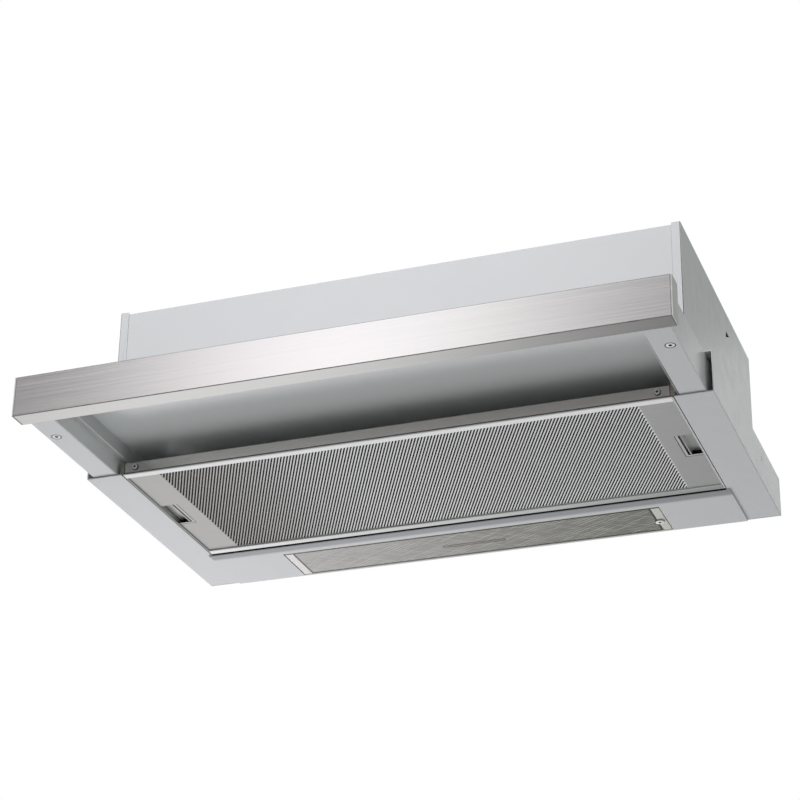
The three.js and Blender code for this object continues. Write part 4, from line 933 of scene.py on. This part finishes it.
def slot_field(node, columns, rows, pitch, cell, metal):
    """The whole field of slots, around the origin."""
    tree = perforation_tree()
    field = link(node + "_field", bpy.data.meshes.new(node + "_field"))
    repeat = field.modifiers.new("perforation", "NODES")
    repeat.node_group = tree
    names = {item.name: item.identifier for item in tree.interface.items_tree if item.in_out == "INPUT"}
    for label, value in (("Columns", columns), ("Rows", rows), ("Pitch", pitch), ("Cell", cell),
                         ("Metal", metal)):
        repeat[names[label]] = value
    return baked(field)


def mark_face_sheet(made, half_length, reach, rims):
    """Bared metal between the slots, lighter as a painted highlight, painted shade inside them, and a left
    end that is darker and warmer, tarnished and in painted shade.

    half_length is the field's. reach is about how far a cell's corner lies from its middle: the
    border's large faces, whose corners touch the field, have theirs much further off.
    """
    def in_field(place, middle):
        return (place - middle).length < reach and abs(middle.x) < half_length

    def on_rim(middle, wanted):
        return any(in_shade == wanted and low[0] <= middle.x <= high[0] and low[1] <= middle.y <= high[1]
                   for low, high, in_shade in rims)

    # Painted highlight: the metal between the slots, the pockets' pressed rims and the border's right half
    # are lighter; the field less so towards its left end.
    def highlight_and_bareness(place, middle, normal):
        if normal.z < -0.5 and in_field(place, middle):
            return 0.76 - 0.0044 * max(0, -60 - place.x)
        if on_rim(middle, False):
            return 0.3
        return 0.12 if place.x > 0 else 0.0

    # Painted shade on the slots' walls and in the grooves round the pockets.
    def darkness(place, middle, normal):
        return float(abs(normal.z) < 0.5 and in_field(place, middle) or on_rim(middle, True))

    # Darker and warmer towards the left end: tarnished and in painted shade.
    def tarnish_and_shade(place, middle, normal):
        if in_field(place, middle):
            return 0.0036 * max(0, -110 - place.x)
        return 0.0 if place.x > 0 else 0.16

    for name, amount in (("bare_and_highlight", highlight_and_bareness), ("shade_and_dulling", darkness), ("tarnish_and_shade", tarnish_and_shade)):
        mark(made, name, amount)


def form_face_sheet(node, columns, rows, pitch, margin, lap, depth):
    """The sheet's plain border with the field of slots set into it."""
    metal = FINISHES[NODE_SLOT[node]]
    bottom = min(corner[2] for corner in NODES[node].bound_box)
    front = min(corner[1] for corner in NODES[node].bound_box)
    rear = max(corner[1] for corner in NODES[node].bound_box)
    middle = (front + rear) / 2
    cell = slotted_cell(pitch, margin, lap, depth)
    field = slot_field(node, columns, rows, pitch, cell, metal)
    half = Vector((columns * pitch / 2, rows * pitch / 2))

    border = link(node + "_formed", NODES[node].data.copy())
    block = bmesh.new()
    bmesh.ops.create_cube(block, size=1, matrix=Matrix.Translation((0, middle, bottom)) @ Matrix.Diagonal(
        (2 * half.x, 2 * half.y, 0.01, 1)))
    cut_out(border, block)

    whole = bmesh.new()
    whole.from_mesh(border.data)
    before = len(whole.verts)
    whole.from_mesh(field.data)
    whole.verts.ensure_lookup_table()
    for vertex in whole.verts[before:]:
        vertex.co += Vector((0, middle, bottom))
    # The shifted rows end half a pitch early on both sides, so plain metal fills the rest.
    for row in range(1, rows, 2):
        level = middle - half.y + row * pitch
        for side in (-1, 1):
            left, right = sorted((side * half.x, side * (half.x - pitch / 2)))
            corners = ((left, level), (left, level + pitch), (right, level + pitch), (right, level))
            whole.faces.new([whole.verts.new((x, y, bottom)) for x, y in corners])
    rims = pocket_rims()
    for low, high, _ in rims:
        add_bar(whole, low, high)
    for face in whole.faces:
        face.smooth = False
        face.material_index = 0
    whole.to_mesh(border.data)
    whole.free()
    border.data.materials.clear()
    border.data.materials.append(metal)
    mark_face_sheet(border, half.x / MM, 2 * pitch / MM, rims)
    for spare in (cell, field):
        bpy.data.objects.remove(spare)
    stand_in(border, node)


# ------------------------------------------------------------------- the lamp's lens and the screws

def form_lens():
    """The lens with three thin beads of the outline that is moulded round its plain nameplate."""
    nameplate = [((-34, -30.6, -40.62), (30, -30.3, -40.3)), ((-31, -26.8, -40.62), (30, -26.5, -40.3)),
                 ((29.7, -30.6, -40.62), (30, -26.5, -40.3))]
    stand_in(softened("lamp_lens", 0.4, nameplate), "lamp_lens")


def form_screw(node, centre, outward, recess, fold, groove_radius, groove_width, groove_depth, dull=0.0):
    """A screw whose head has a crossed recess, with the groove that its seat leaves around it, painted dark
    as shadow.

    centre is on the head's face. recess is the cross's half length, half width and depth. fold is
    the radius of the folds. The groove has an inner radius, a width and how far it lies back from
    the head's face. All in millimetres. dull is the share of that dark colour on the whole head.
    """
    made = softened(node, fold)
    middle, outward = Vector(centre) * MM, Vector(outward)
    turn = outward.to_track_quat("Z", "Y").to_matrix().to_4x4()
    length, width, depth = recess
    block = bmesh.new()
    for size in ((length, width, depth), (width, length, depth)):
        scale = Matrix.Diagonal((*(2 * value * MM for value in size), 1))
        bmesh.ops.create_cube(block, size=1, matrix=Matrix.Translation(middle) @ turn @ scale)
    cut_out(made, block, crossing=True)

    whole = bmesh.new()
    whole.from_mesh(made.data)
    rings = []
    for reach in (groove_radius, groove_radius + groove_width):
        ring = []
        for step in range(RING_STEPS):
            angle = step * 2 * math.pi / RING_STEPS
            spot = Vector((reach * MM * math.cos(angle), reach * MM * math.sin(angle), -groove_depth * MM))
            ring.append(whole.verts.new(Matrix.Translation(middle) @ turn @ spot))
        rings.append(ring)
    inner, outer = rings
    for step in range(RING_STEPS):
        after = (step + 1) % RING_STEPS
        whole.faces.new((inner[step], outer[step], outer[after], inner[after]))
    whole.to_mesh(made.data)
    whole.free()

    # Painted shade in the recess and the groove, and the whole head darker by dull.
    def darkness(place, middle_of_face, normal):
        offset = middle_of_face - middle / MM
        deep = -offset.dot(outward)
        across = (offset + outward * deep).length
        in_recess = deep > 0.02 and across < 1.05 * length
        return max(dull, float(in_recess or across > groove_radius - 0.01))
    stand_in(mark(made, "shade_and_dulling", darkness), node)


def form_screws():
    for side, name in ((-1, "left"), (1, "right")):
        form_screw("rail_screw_" + name, (side * 283, -374.9, -38.1), (0, 0, -1), recess=(1.8, 0.9, 1.4),
                   fold=0.25, groove_radius=3.8, groove_width=1.0, groove_depth=-0.03)
        form_screw("cross_screw_" + name, (side * 249, -285.4, -33.1), (0, -1, 0), recess=(1.4, 0.5, 1.0),
                   fold=0.3, groove_radius=2.6, groove_width=0.5, groove_depth=1.55, dull=0.35)
    form_screw("lens_screw", (185.5, -25.45, -41.9), (0, 0, -1), recess=(2.0, 0.6, 1.6),
               fold=0.5, groove_radius=4.0, groove_width=0.7, groove_depth=1.45)


make_camera()
make_studio()
form_pieces()
form_face_sheet("filter_face_sheet", columns=148, rows=59, pitch=3.1 * MM, margin=0.05 * MM,
                lap=0.18 * MM, depth=0.5 * MM)
form_lens()
form_screws()
